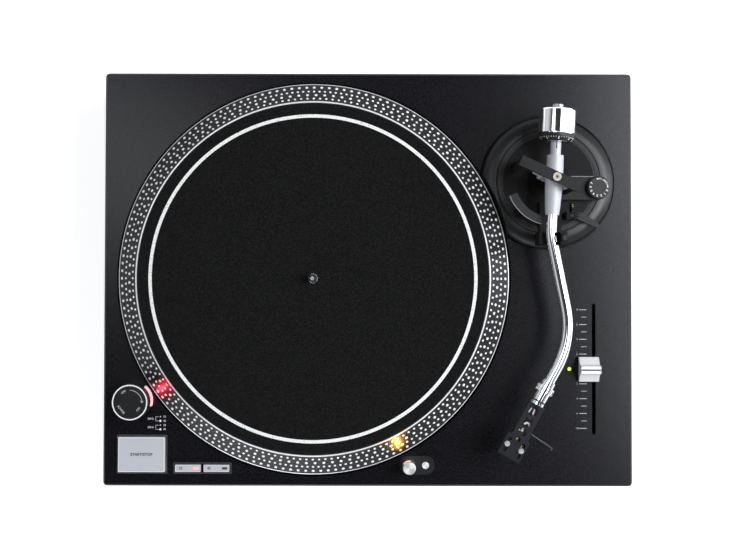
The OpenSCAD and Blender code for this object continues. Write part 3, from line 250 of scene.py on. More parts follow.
def build_handling():
    inputs = [("Scale", FLOAT, 30.0), ("Smooth", FLOAT, 0.3), ("Dull", FLOAT, 0.4)]
    group, given, result = new_effect("handling", inputs, ["Roughness"])
    place = shader_node(group, "ShaderNodeTexCoord")
    noise = shader_node(group, "ShaderNodeTexNoise")
    noise.inputs["Detail"].default_value = 5
    noise.inputs["Roughness"].default_value = 0.65
    spread = shader_node(group, "ShaderNodeMapRange")
    spread.inputs["From Min"].default_value = 0.3
    spread.inputs["From Max"].default_value = 0.7
    group.links.new(place.outputs["Object"], noise.inputs["Vector"])
    group.links.new(given.outputs["Scale"], noise.inputs["Scale"])
    group.links.new(noise.outputs["Fac"], spread.inputs["Value"])
    group.links.new(given.outputs["Smooth"], spread.inputs["To Min"])
    group.links.new(given.outputs["Dull"], spread.inputs["To Max"])
    group.links.new(spread.outputs["Result"], result.inputs["Roughness"])
    return group


effects["handling"] = build_handling()
print("effects so far", len(effects))

# %% Turned rings


def build_turned_rings():
    inputs = [("Axis Place", VECTOR, (0, 0, 0)), ("Rings per Metre", FLOAT, 2500.0)]
    group, given, result = new_effect("turned_rings", inputs, ["Mask"])
    place = shader_node(group, "ShaderNodeTexCoord")
    off_axis = shader_node(group, "ShaderNodeVectorMath", operation="SUBTRACT")
    flat = shader_node(group, "ShaderNodeVectorMath", operation="MULTIPLY")
    flat.inputs[1].default_value = (1, 1, 0)
    reach = shader_node(group, "ShaderNodeVectorMath", operation="LENGTH")
    count = shader_node(group, "ShaderNodeMath", operation="MULTIPLY")
    noise = shader_node(group, "ShaderNodeTexNoise", noise_dimensions="1D")
    noise.inputs["Scale"].default_value = 1
    noise.inputs["Detail"].default_value = 3
    group.links.new(place.outputs["Object"], off_axis.inputs[0])
    group.links.new(given.outputs["Axis Place"], off_axis.inputs[1])
    group.links.new(off_axis.outputs[0], flat.inputs[0])
    group.links.new(flat.outputs[0], reach.inputs[0])
    group.links.new(reach.outputs["Value"], count.inputs[0])
    group.links.new(given.outputs["Rings per Metre"], count.inputs[1])
    group.links.new(count.outputs[0], noise.inputs["W"])
    group.links.new(noise.outputs["Fac"], result.inputs["Mask"])
    return group


effects["turned_rings"] = build_turned_rings()
print("effects so far", len(effects))

# %% Brushed lines


def build_brushed_lines():
    group, given, result = new_effect("brushed_lines", [("Stretch", VECTOR, (60, 3000, 3000))], ["Mask"])
    place = shader_node(group, "ShaderNodeTexCoord")
    pull = shader_node(group, "ShaderNodeVectorMath", operation="MULTIPLY")
    noise = shader_node(group, "ShaderNodeTexNoise")
    noise.inputs["Scale"].default_value = 1
    noise.inputs["Detail"].default_value = 3
    group.links.new(place.outputs["Object"], pull.inputs[0])
    group.links.new(given.outputs["Stretch"], pull.inputs[1])
    group.links.new(pull.outputs[0], noise.inputs["Vector"])
    group.links.new(noise.outputs["Fac"], result.inputs["Mask"])
    return group


effects["brushed_lines"] = build_brushed_lines()
print("effects", sorted(effects))

# %% [markdown]
# ## Finishes
#
# A finish starts as one shader with its plain numbers on its own sockets. Small functions then add what
# varies: a speckle that mixes two colours, handling marks that move the roughness, turned rings or brushed
# lines that break up a reflection. Reading the finishes top to bottom is reading the turntable's list of
# materials.

# %% A plain finish


def finish(name, colour, roughness, metal=0.0, gloss=0.5):
    material = bpy.data.materials.new(name)
    material.use_nodes = True
    skin = material.node_tree.nodes["Principled BSDF"]
    skin.inputs["Base Color"].default_value = (*colour, 1)
    skin.inputs["Roughness"].default_value = roughness
    skin.inputs["Metallic"].default_value = metal
    skin.inputs["Specular IOR Level"].default_value = gloss
    return material


def skin_of(material):
    return material.node_tree.nodes["Principled BSDF"]


def grey(value):
    return (value, value, value)


print("grey of one half is", grey(0.5))

# %% An effect, two colours and relief


def place_effect(material, effect, **values):
    node = shader_node(material.node_tree, "ShaderNodeGroup", node_tree=effects[effect])
    for name, value in values.items():
        node.inputs[name.replace("_", " ")].default_value = value
    return node


def two_colours(material, mask, dark, light):
    tree = material.node_tree
    mix = shader_node(tree, "ShaderNodeMix", data_type="RGBA")
    colour_a, colour_b, mixed = mix.inputs[6], mix.inputs[7], mix.outputs[2]
    colour_a.default_value = (*dark, 1)
    colour_b.default_value = (*light, 1)
    tree.links.new(mask, mix.inputs[0])
    tree.links.new(mixed, skin_of(material).inputs["Base Color"])
    return mixed


BUMP_STRENGTH = 0.5


def relief(material, height, distance):
    tree = material.node_tree
    bump = shader_node(tree, "ShaderNodeBump")
    bump.inputs["Strength"].default_value = BUMP_STRENGTH
    bump.inputs["Distance"].default_value = distance
    tree.links.new(height, bump.inputs["Height"])
    tree.links.new(bump.outputs["Normal"], skin_of(material).inputs["Normal"])


print("relief is used at strength", BUMP_STRENGTH)

# %% Speckled, handled, turned, brushed and glowing finishes


def speckled(material, scale, dark, light, depth):
    speckle = place_effect(material, "speckle", Scale=scale)
    two_colours(material, speckle.outputs["Mask"], dark, light)
    relief(material, speckle.outputs["Height"], depth)
    return material


def handled(material, scale, smooth, dull):
    marks = place_effect(material, "handling", Scale=scale, Smooth=smooth, Dull=dull)
    material.node_tree.links.new(marks.outputs["Roughness"], skin_of(material).inputs["Roughness"])
    return material


def turned(material, axis, dark, light, depth):
    lines = place_effect(material, "turned_rings", Axis_Place=tuple(axis))
    two_colours(material, lines.outputs["Mask"], dark, light)
    relief(material, lines.outputs["Mask"], depth)
    return material


def brushed(material, stretch, dark, light, depth):
    lines = place_effect(material, "brushed_lines", Stretch=stretch)
    two_colours(material, lines.outputs["Mask"], dark, light)
    relief(material, lines.outputs["Mask"], depth)
    return material


def glowing(material, colour, strength):
    skin = skin_of(material)
    skin.inputs["Emission Color"].default_value = (*colour, 1)
    skin.inputs["Emission Strength"].default_value = strength
    return material


print("finishes can use", sorted(effects))

# %% [markdown]
# ### Paint, plastic and rubber
#
# The case is cast metal under a satin black paint with a fine pale speckle, which is easy to see where the
# light is strong. The tray below is moulded plastic, and the controls are finer plastic. They are all
# nearly black, so what tells them apart is the size of the speckle and how wide their highlights are.

# %% Black finishes
deck_paint = finish("deck_paint", grey(0.01), 0.23, gloss=0.3)
speckled(deck_paint, 1400, dark=(0.0005, 0.0005, 0.001), light=(0.013, 0.013, 0.016), depth=0.06 * MM)
skirt_paint = finish("skirt_paint", grey(0.006), 0.38, gloss=0.45)
handled(skirt_paint, 25, smooth=0.34, dull=0.42)
arch_paint = finish("arch_paint", grey(0.009), 0.42, gloss=0.2)
speckled(arch_paint, 1200, dark=grey(0.006), light=grey(0.016), depth=0.03 * MM)
base_paint = finish("base_paint", grey(0.004), 0.4, gloss=0.12)
speckled(base_paint, 1500, dark=grey(0.002), light=grey(0.007), depth=0.03 * MM)
shell_paint = finish("shell_paint", grey(0.011), 0.42, gloss=0.2)
speckled(shell_paint, 1500, dark=(0.008, 0.008, 0.01), light=(0.013, 0.013, 0.016), depth=0.02 * MM)
tray_plastic = finish("tray_plastic", grey(0.01), 0.55, gloss=0.3)
speckled(tray_plastic, 700, dark=grey(0.007), light=grey(0.016), depth=0.06 * MM)
fine_plastic = finish("fine_plastic", grey(0.008), 0.42, gloss=0.3)
speckled(fine_plastic, 1600, dark=grey(0.006), light=grey(0.013), depth=0.02 * MM)
knob_plastic = finish("knob_plastic", grey(0.014), 0.4, gloss=0.3)
speckled(knob_plastic, 1600, dark=grey(0.011), light=grey(0.019), depth=0.02 * MM)
pod_plastic = finish("pod_plastic", grey(0.013), 0.32, gloss=0.3)
handled(pod_plastic, 40, smooth=0.28, dull=0.38)
rubber = finish("rubber", grey(0.01), 0.8, gloss=0.25)
speckled(rubber, 500, dark=grey(0.008), light=grey(0.015), depth=0.08 * MM)
print("finishes so far", len(bpy.data.materials))

# %% [markdown]
# ### Bare and plated metal
#
# The platter is turned from one casting, anodised black, and its rings can still be seen. The arm and its
# weight are plated, so they show the panels of light as hard streaks, and only faint handling marks break
# them.

# %% Metal finishes
platter_black = finish("platter_black", grey(0.011), 0.36, gloss=0.28)
turned(platter_black, platter_axis, dark=grey(0.007), light=grey(0.017), depth=0.01 * MM)
spindle_steel = finish("spindle_steel", (0.62, 0.62, 0.64), 0.2, metal=1)
turned(spindle_steel, platter_axis, dark=grey(0.55), light=grey(0.75), depth=0.004 * MM)
lamp_steel = finish("lamp_steel", grey(0.85), 0.32, metal=1)
turned(lamp_steel, lamp_axis, dark=grey(0.7), light=grey(0.95), depth=0.004 * MM)
satin_silver = finish("satin_silver", grey(0.44), 0.55, metal=0.3)
brushed(satin_silver, (2500, 2500, 2500), dark=(0.4, 0.41, 0.44), light=(0.48, 0.49, 0.53), depth=0.004 * MM)
bright_edge = handled(finish("bright_edge", grey(0.88), 0.3, metal=0.4), 60, smooth=0.25, dull=0.36)
chrome = handled(finish("chrome", (0.86, 0.86, 0.88), 0.06, metal=1), 50, smooth=0.04, dull=0.1)
wire_grey = handled(finish("wire_grey", grey(0.08), 0.4, metal=0.7), 200, smooth=0.35, dull=0.5)
dial_black = handled(finish("dial_black", grey(0.008), 0.36, gloss=0.3), 60, smooth=0.32, dull=0.42)
ring_black = handled(finish("ring_black", grey(0.009), 0.34, gloss=0.3), 60, smooth=0.3, dull=0.4)
screw_steel = handled(finish("screw_steel", (0.6, 0.6, 0.62), 0.3, metal=1), 200, smooth=0.24, dull=0.4)
screw_cream = handled(finish("screw_cream", (0.42, 0.4, 0.33), 0.35, metal=0.3), 200, smooth=0.3, dull=0.42)
brass = handled(finish("brass", (0.72, 0.5, 0.2), 0.28, metal=1), 100, smooth=0.22, dull=0.35)
print("finishes so far", len(bpy.data.materials))

# %% [markdown]
# ### Buttons, lamps and the parts inside
#
# The big buttons are silver plastic. The strobe window, the target lens and the small lamps give out light
# of their own, which also falls on the dots beside them. Boards, coils and iron only show when the case is
# opened, but each still has its own finish.

# %% Buttons and lamps
button_silver = finish("button_silver", (0.5, 0.51, 0.54), 0.42, gloss=0.35)
speckled(button_silver, 1800, dark=(0.47, 0.48, 0.51), light=(0.53, 0.54, 0.57), depth=0.01 * MM)
cap_silver = finish("cap_silver", (0.68, 0.69, 0.72), 0.36, metal=0.2, gloss=0.4)
speckled(cap_silver, 1800, dark=grey(0.64), light=grey(0.74), depth=0.01 * MM)
strobe_glow = handled(finish("strobe_glow", (0.8, 0.2, 0.22), 0.4), 80, smooth=0.35, dull=0.45)
glowing(strobe_glow, (1, 0.5, 0.53), strength=1.0)
lens_glow = handled(finish("lens_glow", (0.9, 0.6, 0.3), 0.15), 80, smooth=0.12, dull=0.2)
glowing(lens_glow, (1, 0.62, 0.25), strength=1.4)
green_glow = handled(finish("green_glow", (0.4, 0.7, 0.1), 0.2), 200, smooth=0.15, dull=0.25)
glowing(green_glow, (0.6, 1, 0.03), strength=1.0)
red_glow = handled(finish("red_glow", (0.8, 0.1, 0.1), 0.3), 200, smooth=0.25, dull=0.35)
glowing(red_glow, (1, 0.45, 0.38), strength=1.1)
print("finishes so far", len(bpy.data.materials))

# %% Parts inside and inks
board_green = finish("board_green", (0.02, 0.1, 0.04), 0.45)
speckled(board_green, 300, dark=(0.015, 0.08, 0.03), light=(0.03, 0.14, 0.06), depth=0.02 * MM)
copper_wire = finish("copper_wire", (0.6, 0.28, 0.1), 0.35, metal=1)
brushed(copper_wire, (300, 300, 4000), dark=(0.45, 0.2, 0.07), light=(0.7, 0.34, 0.14), depth=0.04 * MM)
laminated_iron = finish("laminated_iron", grey(0.2), 0.5, metal=1)
brushed(laminated_iron, (100, 100, 3000), dark=grey(0.14), light=grey(0.26), depth=0.03 * MM)


def ink(name, dark, light):
    return speckled(finish(name, dark, 0.6), 2500, dark, light, depth=0.005 * MM)


white_ink = ink("white_ink", grey(0.76), grey(0.88))
# This grey serves the printed scales and also the painted highlights on the edges of the lift and the
# anti-skating housing.
grey_ink_and_highlight = ink("grey_ink_and_highlight", grey(0.36), grey(0.46))
# This dark finish serves print and also the painted shade in the pivot screw's slots.
dark_ink_and_shade = ink("dark_ink_and_shade", grey(0.015), grey(0.03))
print("finishes in all", len(bpy.data.materials))

# %% [markdown]
# ## Dress the solids
#
# Each solid is one part with one finish. A table from finish to parts keeps the choice in one place, and a
# missing part would be noticed at once, because every part has to be listed.

# %% Which part gets which finish
dress = {
    deck_paint: ["plinth"],
    skirt_paint: ["arm_skirt", "strobe_tower", "power_knob"],
    arch_paint: ["arm_arch", "anti_skate_housing"],
    base_paint: ["arm_base", "arm_rest"],
    tray_plastic: ["base_tray", "power_switch", "mains_inlet"],
    fine_plastic: ["pitch_stem", "pitch_pot", "cartridge", "cue_lever", "arm_lift", "rest_latch"],
    knob_plastic: ["anti_skate_knob"],
    cap_silver: ["pitch_cap"],
    pod_plastic: ["target_pod"],
    rubber: ["foot_front_left", "foot_front_right", "foot_rear_left", "foot_rear_right", "slipmat"],
    shell_paint: ["headshell"],
    platter_black: ["platter"],
    chrome: ["arm_tube", "counterweight", "locking_collar"],
    screw_cream: ["pivot_screw"],
    wire_grey: ["finger_lift"],
    satin_silver: ["arm_barrel", "gimbal", "weight_sleeve", "bearing_housing"],
    dial_black: ["force_dial"],
    ring_black: ["height_ring"],
    spindle_steel: ["spindle"],
    screw_steel: ["case_screws", "pivot_pins", "cartridge_screws", "stylus"],
    lamp_steel: ["target_lamp"],
    button_silver: ["start_stop_button", "speed_button_33", "speed_button_45", "target_button"],
    strobe_glow: ["strobe_window"],
    lens_glow: ["target_lens"],
    green_glow: ["pitch_led"],
    board_green: ["motor_board", "main_board", "control_board"],
    copper_wire: ["motor_coils"],
    laminated_iron: ["motor_stator", "transformer", "rotor_magnet"],
    brass: ["audio_terminals"],
}
for coat, part_names in dress.items():
    for part in part_names:
        nodes[part].data.materials.clear()
        nodes[part].data.materials.append(coat)
bare = sorted(set(nodes) - {part for part_names in dress.values() for part in part_names})
print("parts without a finish:", bare)

# %% [markdown]
# ## Tools for new pieces
#
# The solids stop at what the machine shop makes. Printing, dots, wires and knurls are modelled here, as
# they would be by hand: a plane or a cylinder is added, extruded, spun, inset or bevelled in edit mode, put
# in its place and given its finish. A few steps repeat so often that they are worth a small function each.

# %% Starting and finishing a piece
INK = 0.06 * MM
SAME_PLACE = 0.001 * MM


def clear_selection():
    if bpy.context.object and bpy.context.object.mode != "OBJECT":
        bpy.ops.object.mode_set(mode="OBJECT")
    bpy.ops.object.select_all(action="DESELECT")


def settle(piece, name, coat):
    clear_selection()
    piece.select_set(True)
    bpy.context.view_layer.objects.active = piece
    bpy.ops.object.transform_apply(location=True, rotation=True, scale=True)
    piece.name = piece.data.name = name
    piece.data.materials.clear()
    piece.data.materials.append(coat)
    return piece


def face_outwards():
    bpy.ops.mesh.select_all(action="SELECT")
    bpy.ops.mesh.remove_doubles(threshold=SAME_PLACE)
    bpy.ops.mesh.normals_make_consistent(inside=False)
    bpy.ops.object.mode_set(mode="OBJECT")


def join_as(name, coat, body, parts):
    clear_selection()
    for part in parts:
        part.select_set(True)
    bpy.context.view_layer.objects.active = parts[0]
    bpy.ops.object.join()
    piece = settle(parts[0], name, coat)
    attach(piece, body)
    print(name, len(piece.data.polygons), "faces, rides on", body)
    return piece


print("ink is", round(INK / MM, 3), "mm thick")

# %% Picking faces and using modifiers


def pick_faces(piece, wanted):
    bpy.ops.object.mode_set(mode="EDIT")
    bpy.ops.mesh.select_all(action="DESELECT")
    shape = bmesh.from_edit_mesh(piece.data)
    for face in shape.faces:
        if wanted(face.normal.z):
            face.select_set(True)
    bmesh.update_edit_mesh(piece.data)


def use_modifier(piece, kind, **values):
    clear_selection()
    piece.select_set(True)
    bpy.context.view_layer.objects.active = piece
    modifier = piece.modifiers.new(kind.lower(), kind)
    for name, value in values.items():
        setattr(modifier, name, value)
    bpy.ops.object.modifier_apply(modifier=modifier.name)
    return piece


print("faces are picked by their normal")

# %% A turned piece
ROUND_SIDES = 96


def turned_piece(axis, outline, sides=ROUND_SIDES, start=0.0, sweep=2 * pi):
    along = Vector((cos(start), sin(start), 0))
    clear_selection()
    bpy.ops.mesh.primitive_plane_add(size=1, location=(0, 0, 0))
    piece = bpy.context.object
    bpy.ops.object.mode_set(mode="EDIT")
    bpy.ops.mesh.merge(type="CENTER")
    bpy.ops.transform.translate(value=Vector((axis.x, axis.y, outline[0][1])) + along * outline[0][0])
    for (r0, z0), (r1, z1) in zip(outline, outline[1:] + outline[:1]):
        step = along * (r1 - r0) + Vector((0, 0, z1 - z0))
        bpy.ops.mesh.extrude_region_move(TRANSFORM_OT_translate={"value": step})
    bpy.ops.mesh.select_all(action="SELECT")
    bpy.ops.mesh.remove_doubles(threshold=SAME_PLACE / 10)
    bpy.ops.mesh.spin(steps=sides, angle=-sweep, center=(axis.x, axis.y, 0), axis=(0, 0, 1))
    if sweep < 2 * pi:
        bpy.ops.mesh.select_all(action="SELECT")
        bpy.ops.mesh.fill_holes(sides=0)
    face_outwards()
    return settle(piece, "turned", white_ink)


def flat_ring(axis, inner, outer, low, high, sides=ROUND_SIDES):
    return turned_piece(axis, [(inner, low), (outer, low), (outer, high), (inner, high)], sides)


def arc_strip(axis, inner, outer, start, sweep, low, high, sides=16):
    return turned_piece(axis, [(inner, low), (outer, low), (outer, high), (inner, high)], sides, start, sweep)


print("a round piece has", ROUND_SIDES, "sides unless told otherwise")

# %% A bar and a row of words
CAPITAL_SHARE = 0.69


def raised_bar(centre, size, low, high, turn=0.0):
    clear_selection()
    bpy.ops.mesh.primitive_plane_add(size=1, location=(centre[0], centre[1], low))
    bar = bpy.context.object
    bar.scale = (size[0], size[1], 1)
    bar.rotation_euler.z = turn
    bpy.ops.object.transform_apply(location=True, rotation=True, scale=True)
    bpy.ops.object.mode_set(mode="EDIT")
    bpy.ops.mesh.select_all(action="SELECT")
    bpy.ops.mesh.extrude_region_move(TRANSFORM_OT_translate={"value": (0, 0, high - low)})
    face_outwards()
    return settle(bar, "bar", white_ink)


def printed_bar(centre, size, surface, turn=0.0):
    return raised_bar(centre, size, surface, surface + INK, turn)


def words(text, cap_height, place, turn=0.0, bold=0.0):
    clear_selection()
    bpy.ops.object.text_add(location=(place[0], place[1], place[2] + INK / 2), rotation=(0, 0, turn))
    line = bpy.context.object
    line.data.body = text
    line.data.size = cap_height / CAPITAL_SHARE
    line.data.align_x = "CENTER"
    line.data.align_y = "CENTER"
    line.data.extrude = INK / 2
    line.data.offset = bold
    line.data.resolution_u = 3
    bpy.ops.object.convert(target="MESH")
    return settle(bpy.context.object, "words", white_ink)


print("capitals are", CAPITAL_SHARE, "of the type size")

# %% Copies in a row and round an axis


def copies_along(piece, count, step):
    spacing = {"use_constant_offset": True, "constant_offset_displace": step}
    return use_modifier(piece, "ARRAY", count=count, use_relative_offset=False, **spacing)


def copies_round(piece, count, axis):
    clear_selection()
    bpy.ops.object.empty_add(location=(0, 0, 0), rotation=(0, 0, 2 * pi / count))
    turner = bpy.context.object
    turning = {"use_object_offset": True, "offset_object": turner}
    use_modifier(piece, "ARRAY", count=count, use_relative_offset=False, **turning)
    bpy.data.objects.remove(turner)
    piece.location = (axis.x, axis.y, 0)
    return settle(piece, piece.name, piece.data.materials[0])


print("tools ready, finishes ready:", len(bpy.data.materials))

# %% [markdown]
# ## The slipmat
#
# A slipmat is a disc of pressed felt that lies loose on the platter, so that a hand can hold it still while
# the platter turns below. Felt this thin lies flat by its own weight, so a cloth simulation would only give
# a flat disc back. It is modelled as a turned ring with a soft edge, in a material that has the fuzz and
# the printed ring. The print is part of the felt's colour, broken up a little where the fibres stand
# through it.

# %% Felt with a printed ring
PRINT_RING_R, PRINT_RING_W = 136.2 * MM, 2.8 * MM


def build_felt():
    felt = finish("felt", grey(0.007), 0.95, gloss=0.1)
    skin_of(felt).inputs["Sheen Weight"].default_value = 0.06
    tree = felt.node_tree
    fuzz = place_effect(felt, "speckle", Scale=1300.0)
    cloth = two_colours(felt, fuzz.outputs["Mask"], grey(0.002), grey(0.011))
    place = shader_node(tree, "ShaderNodeTexCoord")
    off_axis = shader_node(tree, "ShaderNodeVectorMath", operation="DISTANCE")
    flat = shader_node(tree, "ShaderNodeVectorMath", operation="MULTIPLY")
    flat.inputs[1].default_value = (1, 1, 0)
    off_axis.inputs[1].default_value = (platter_axis.x, platter_axis.y, 0)
    band = shader_node(tree, "ShaderNodeMath", operation="COMPARE")
    band.inputs[1].default_value = PRINT_RING_R
    band.inputs[2].default_value = PRINT_RING_W / 2
    worn_band = shader_node(tree, "ShaderNodeMath", operation="MULTIPLY")
    worn = shader_node(tree, "ShaderNodeMapRange")
    worn.inputs["From Min"].default_value = 0.24
    worn.inputs["From Max"].default_value = 0.42
    printed = shader_node(tree, "ShaderNodeMix", data_type="RGBA")
    printed.inputs[7].default_value = (0.78, 0.78, 0.76, 1)
    tree.links.new(place.outputs["Object"], flat.inputs[0])
    tree.links.new(flat.outputs[0], off_axis.inputs[0])
    tree.links.new(off_axis.outputs["Value"], band.inputs[0])
    tree.links.new(fuzz.outputs["Height"], worn.inputs["Value"])
    tree.links.new(band.outputs[0], worn_band.inputs[0])
    tree.links.new(worn.outputs["Result"], worn_band.inputs[1])
    tree.links.new(worn_band.outputs[0], printed.inputs[0])
    tree.links.new(cloth, printed.inputs[6])
    tree.links.new(printed.outputs[2], skin_of(felt).inputs["Base Color"])
    relief(felt, fuzz.outputs["Height"], 0.15 * MM)
    return felt


print("printed ring", round(PRINT_RING_R / MM, 1), "mm from the axis")

# %% The mat
mat_low, mat_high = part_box("slipmat")
mat_radius = (mat_high.x - mat_low.x) / 2
mat_hole = 4.25 * MM
soft = 0.5 * MM
mat_outline = [
    (mat_hole, mat_low.z),
    (mat_radius, mat_low.z),
    (mat_radius, mat_high.z - soft),
    (mat_radius - soft, mat_high.z),
    (mat_hole, mat_high.z),
]
felt_mat = settle(turned_piece(platter_axis, mat_outline, sides=160), "felt_mat", build_felt())
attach(felt_mat, "slipmat")
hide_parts("slipmat")

# %% [markdown]
# ## Strobe dots and bright edges
#
# Four rows of dots are cut into the platter's sloping rim. Under the strobe's flicker one row seems to
# stand still when the speed is right: one row for each speed and mains frequency. Each row is one dot,
# shaped from a small cylinder with a bevelled top and tilted to the slope, then copied round by an Array
# whose offset is an empty turned by one step. The slope is bounded by two edges that were turned bright
# after anodising.

# %% Where the slope runs
slope_top = Vector((148.5 * MM, top_of("platter")))
slope_foot = Vector((165.5 * MM, top_of("platter") - 14 * MM))
slope_lean = atan2(slope_top.y - slope_foot.y, slope_foot.x - slope_top.x)
print("slope leans", round(degrees(slope_lean), 1), "degrees")

# %% Four rows of dots
SMALL_DOT, LARGE_DOT = 1.0 * MM, 1.25 * MM
DOT_RISE, DOT_ROOT, DOT_BEVEL = 0.45 * MM, 0.4 * MM, 0.25 * MM
DOT_ROWS = [
    (151.5 * MM, 180, SMALL_DOT),
    (154.9 * MM, 133, LARGE_DOT),
    (158.4 * MM, 216, SMALL_DOT),
    (162.3 * MM, 160, LARGE_DOT),
]
dot_metal = handled(finish("dot_metal", grey(0.88), 0.4, metal=0.15), 300, smooth=0.35, dull=0.48)


def dot_row(reach, count, radius):
    height = slope_top.y - (reach - slope_top.x) * (slope_top.y - slope_foot.y) / (slope_foot.x - slope_top.x)
    clear_selection()
    bpy.ops.mesh.primitive_cylinder_add(vertices=12, radius=radius, depth=DOT_RISE + DOT_ROOT)
    dot = bpy.context.object
    dot.location = (reach, 0, height)
    dot.rotation_euler.y = slope_lean
    pick_faces(dot, lambda up: up > 0.9)
    bpy.ops.mesh.bevel(offset=DOT_BEVEL, segments=1)
    bpy.ops.object.mode_set(mode="OBJECT")
    settle(dot, "dot", dot_metal)
    return copies_round(dot, count, platter_axis)


join_as("strobe_dots", dot_metal, "platter", [dot_row(*row) for row in DOT_ROWS])
bpy.ops.object.shade_smooth_by_angle(angle=radians(30))

# %% Two bright edges


def bright_rim(name, corner, edge, lean_in, lean_out):
    reach, height = corner
    proud = 0.06 * MM
    outline = [
        (reach - edge * cos(lean_in), height - edge * sin(lean_in) + proud),
        (reach - edge, height - 2 * edge),
        (reach + edge * cos(lean_out), height - edge * sin(lean_out) - edge),
        (reach + edge * cos(lean_out) + proud, height - edge * sin(lean_out) + proud),
        (reach + proud, height + proud),
    ]
    return join_as(name, bright_edge, "platter", [turned_piece(platter_axis, outline, sides=192)])


bright_rim("rim_inner_edge", slope_top, 0.68 * MM, 0.0, slope_lean)
bright_rim("rim_outer_edge", slope_foot, 0.6 * MM, -slope_lean, pi / 2)

# %% [markdown]
# ## Printed scales on the deck
#
# The deck's legends are screen printed in white and grey: the pitch scale beside the fader, and the key
# that tells which row of dots belongs to which speed. Ink has almost no thickness, but a slab of a few
# hundredths of a millimetre lights like ink and never flickers with the surface below. Ticks are one bar
# and an Array; numbers are text that is turned into a mesh.

# %% Pitch scale
slot_centre = middle_of("pitch_stem")
PERCENT_STEP = 6.3 * MM
TICK_RIGHT, LONG_TICK, SHORT_TICK, TICK_W = 186.2 * MM, 6.2 * MM, 4.6 * MM, 0.62 * MM
SCALE_END = 8
NUMBER_X = TICK_RIGHT - LONG_TICK - 1.9 * MM
THIN_TICK_W = 0.8 * TICK_W


def scale_y(percent):
    return slot_centre.y - percent * PERCENT_STEP


long_ticks = printed_bar((TICK_RIGHT - LONG_TICK / 2, scale_y(SCALE_END)), (LONG_TICK, TICK_W), deck_top)
first_short = (TICK_RIGHT - SHORT_TICK / 2, scale_y(SCALE_END - 1))
short_ticks = printed_bar(first_short, (SHORT_TICK, THIN_TICK_W), deck_top)
copies_along(long_ticks, SCALE_END + 1, (0, 2 * PERCENT_STEP, 0))
copies_along(short_ticks, SCALE_END, (0, 2 * PERCENT_STEP, 0))
scale_numbers = [
    words(sign + str(abs(n)), 1.7 * MM, (NUMBER_X, scale_y(n), deck_top))
    for n in range(-SCALE_END, SCALE_END + 1, 2)
    for sign in [{-SCALE_END: "-", SCALE_END: "+"}.get(n, "")]
    if n
]
join_as("pitch_scale", grey_ink_and_highlight, "case", [long_ticks, short_ticks, *scale_numbers])
cap_low, cap_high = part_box("pitch_cap")
line_size = (cap_high.x - cap_low.x - 1 * MM, 0.9 * MM)
cap_line = raised_bar(middle_of("pitch_cap"), line_size, cap_high.z - 0.1 * MM, cap_high.z + INK)
join_as("cap_line", dark_ink_and_shade, "pitch_fader", [cap_line])

# %% Key to the strobe dots
KEY_DOT_X, KEY_TEXT_X, KEY_HZ_X = -176.4 * MM, -172.8 * MM, -184.6 * MM
KEY_TOP, KEY_STEP, KEY_LINE_W = -117.3 * MM, 3.6 * MM, 0.25 * MM
SMALL_KEY_DOT, LARGE_KEY_DOT, PINHOLE = 0.5 * MM, 0.95 * MM, 0.1 * MM
key_pieces = []
for row, speed in enumerate(["33", "45", "33", "45"]):
    y = KEY_TOP - row * KEY_STEP
    key_dot_r = SMALL_KEY_DOT if speed == "33" else LARGE_KEY_DOT
    key_dot = flat_ring(Vector((KEY_DOT_X, y, 0)), PINHOLE, key_dot_r, deck_top, deck_top + INK, 16)
    key_line = printed_bar((KEY_DOT_X - 2.6 * MM, y), (2.6 * MM, KEY_LINE_W), deck_top)
    key_pieces += [key_dot, key_line, words(speed, 1.6 * MM, (KEY_TEXT_X, y, deck_top))]
for pair, mains in enumerate(["50Hz", "60Hz"]):
    y = KEY_TOP - (2 * pair + 0.5) * KEY_STEP
    brace = printed_bar((KEY_DOT_X - 3.9 * MM, y), (KEY_LINE_W, KEY_STEP), deck_top)
    key_pieces += [brace, words(mains, 1.7 * MM, (KEY_HZ_X, y, deck_top))]
join_as("strobe_key", white_ink, "case", key_pieces)

# %% [markdown]
# ## Buttons
#
# The start and stop button is a broad silver key with chamfered edges and dark lettering. The two
# speed buttons each have a small lamp: the lamp of the chosen speed is lit. The light on each chamfer is a
# painted highlight: a pale thin frame on the key's top, made by insetting a plate above and below and
# bridging the two inner faces to take its middle away. Without that painted highlight the key wouldn't
# stand off the black deck.

# %% Painted highlights on the edges of the keys


def bright_frame(key, width):
    key_top = top_of(key)
    cap = raised_bar(middle_of(key), button_caps[key], key_top - 0.02 * MM, key_top + 0.05 * MM)
    pick_faces(cap, lambda up: abs(up) > 0.9)
    bpy.ops.mesh.inset(thickness=width)
    bpy.ops.mesh.bridge_edge_loops()
    face_outwards()
    join_as(key + "_edge", key_edge_highlight, key, [cap])


# This pale frame finish is a painted highlight, standing for the light caught by the keys' chamfers.
key_edge_highlight = handled(finish("key_edge_highlight", grey(0.86), 0.3, metal=0.3), 200, smooth=0.26, dull=0.36)
button_caps = {
    "start_stop_button": (39.5 * MM, 29.5 * MM),
    "speed_button_33": (21.6 * MM, 5.9 * MM),
    "speed_button_45": (21.6 * MM, 5.9 * MM),
}
bright_frame("start_stop_button", 0.9 * MM)
bright_frame("speed_button_33", 0.45 * MM)
bright_frame("speed_button_45", 0.45 * MM)

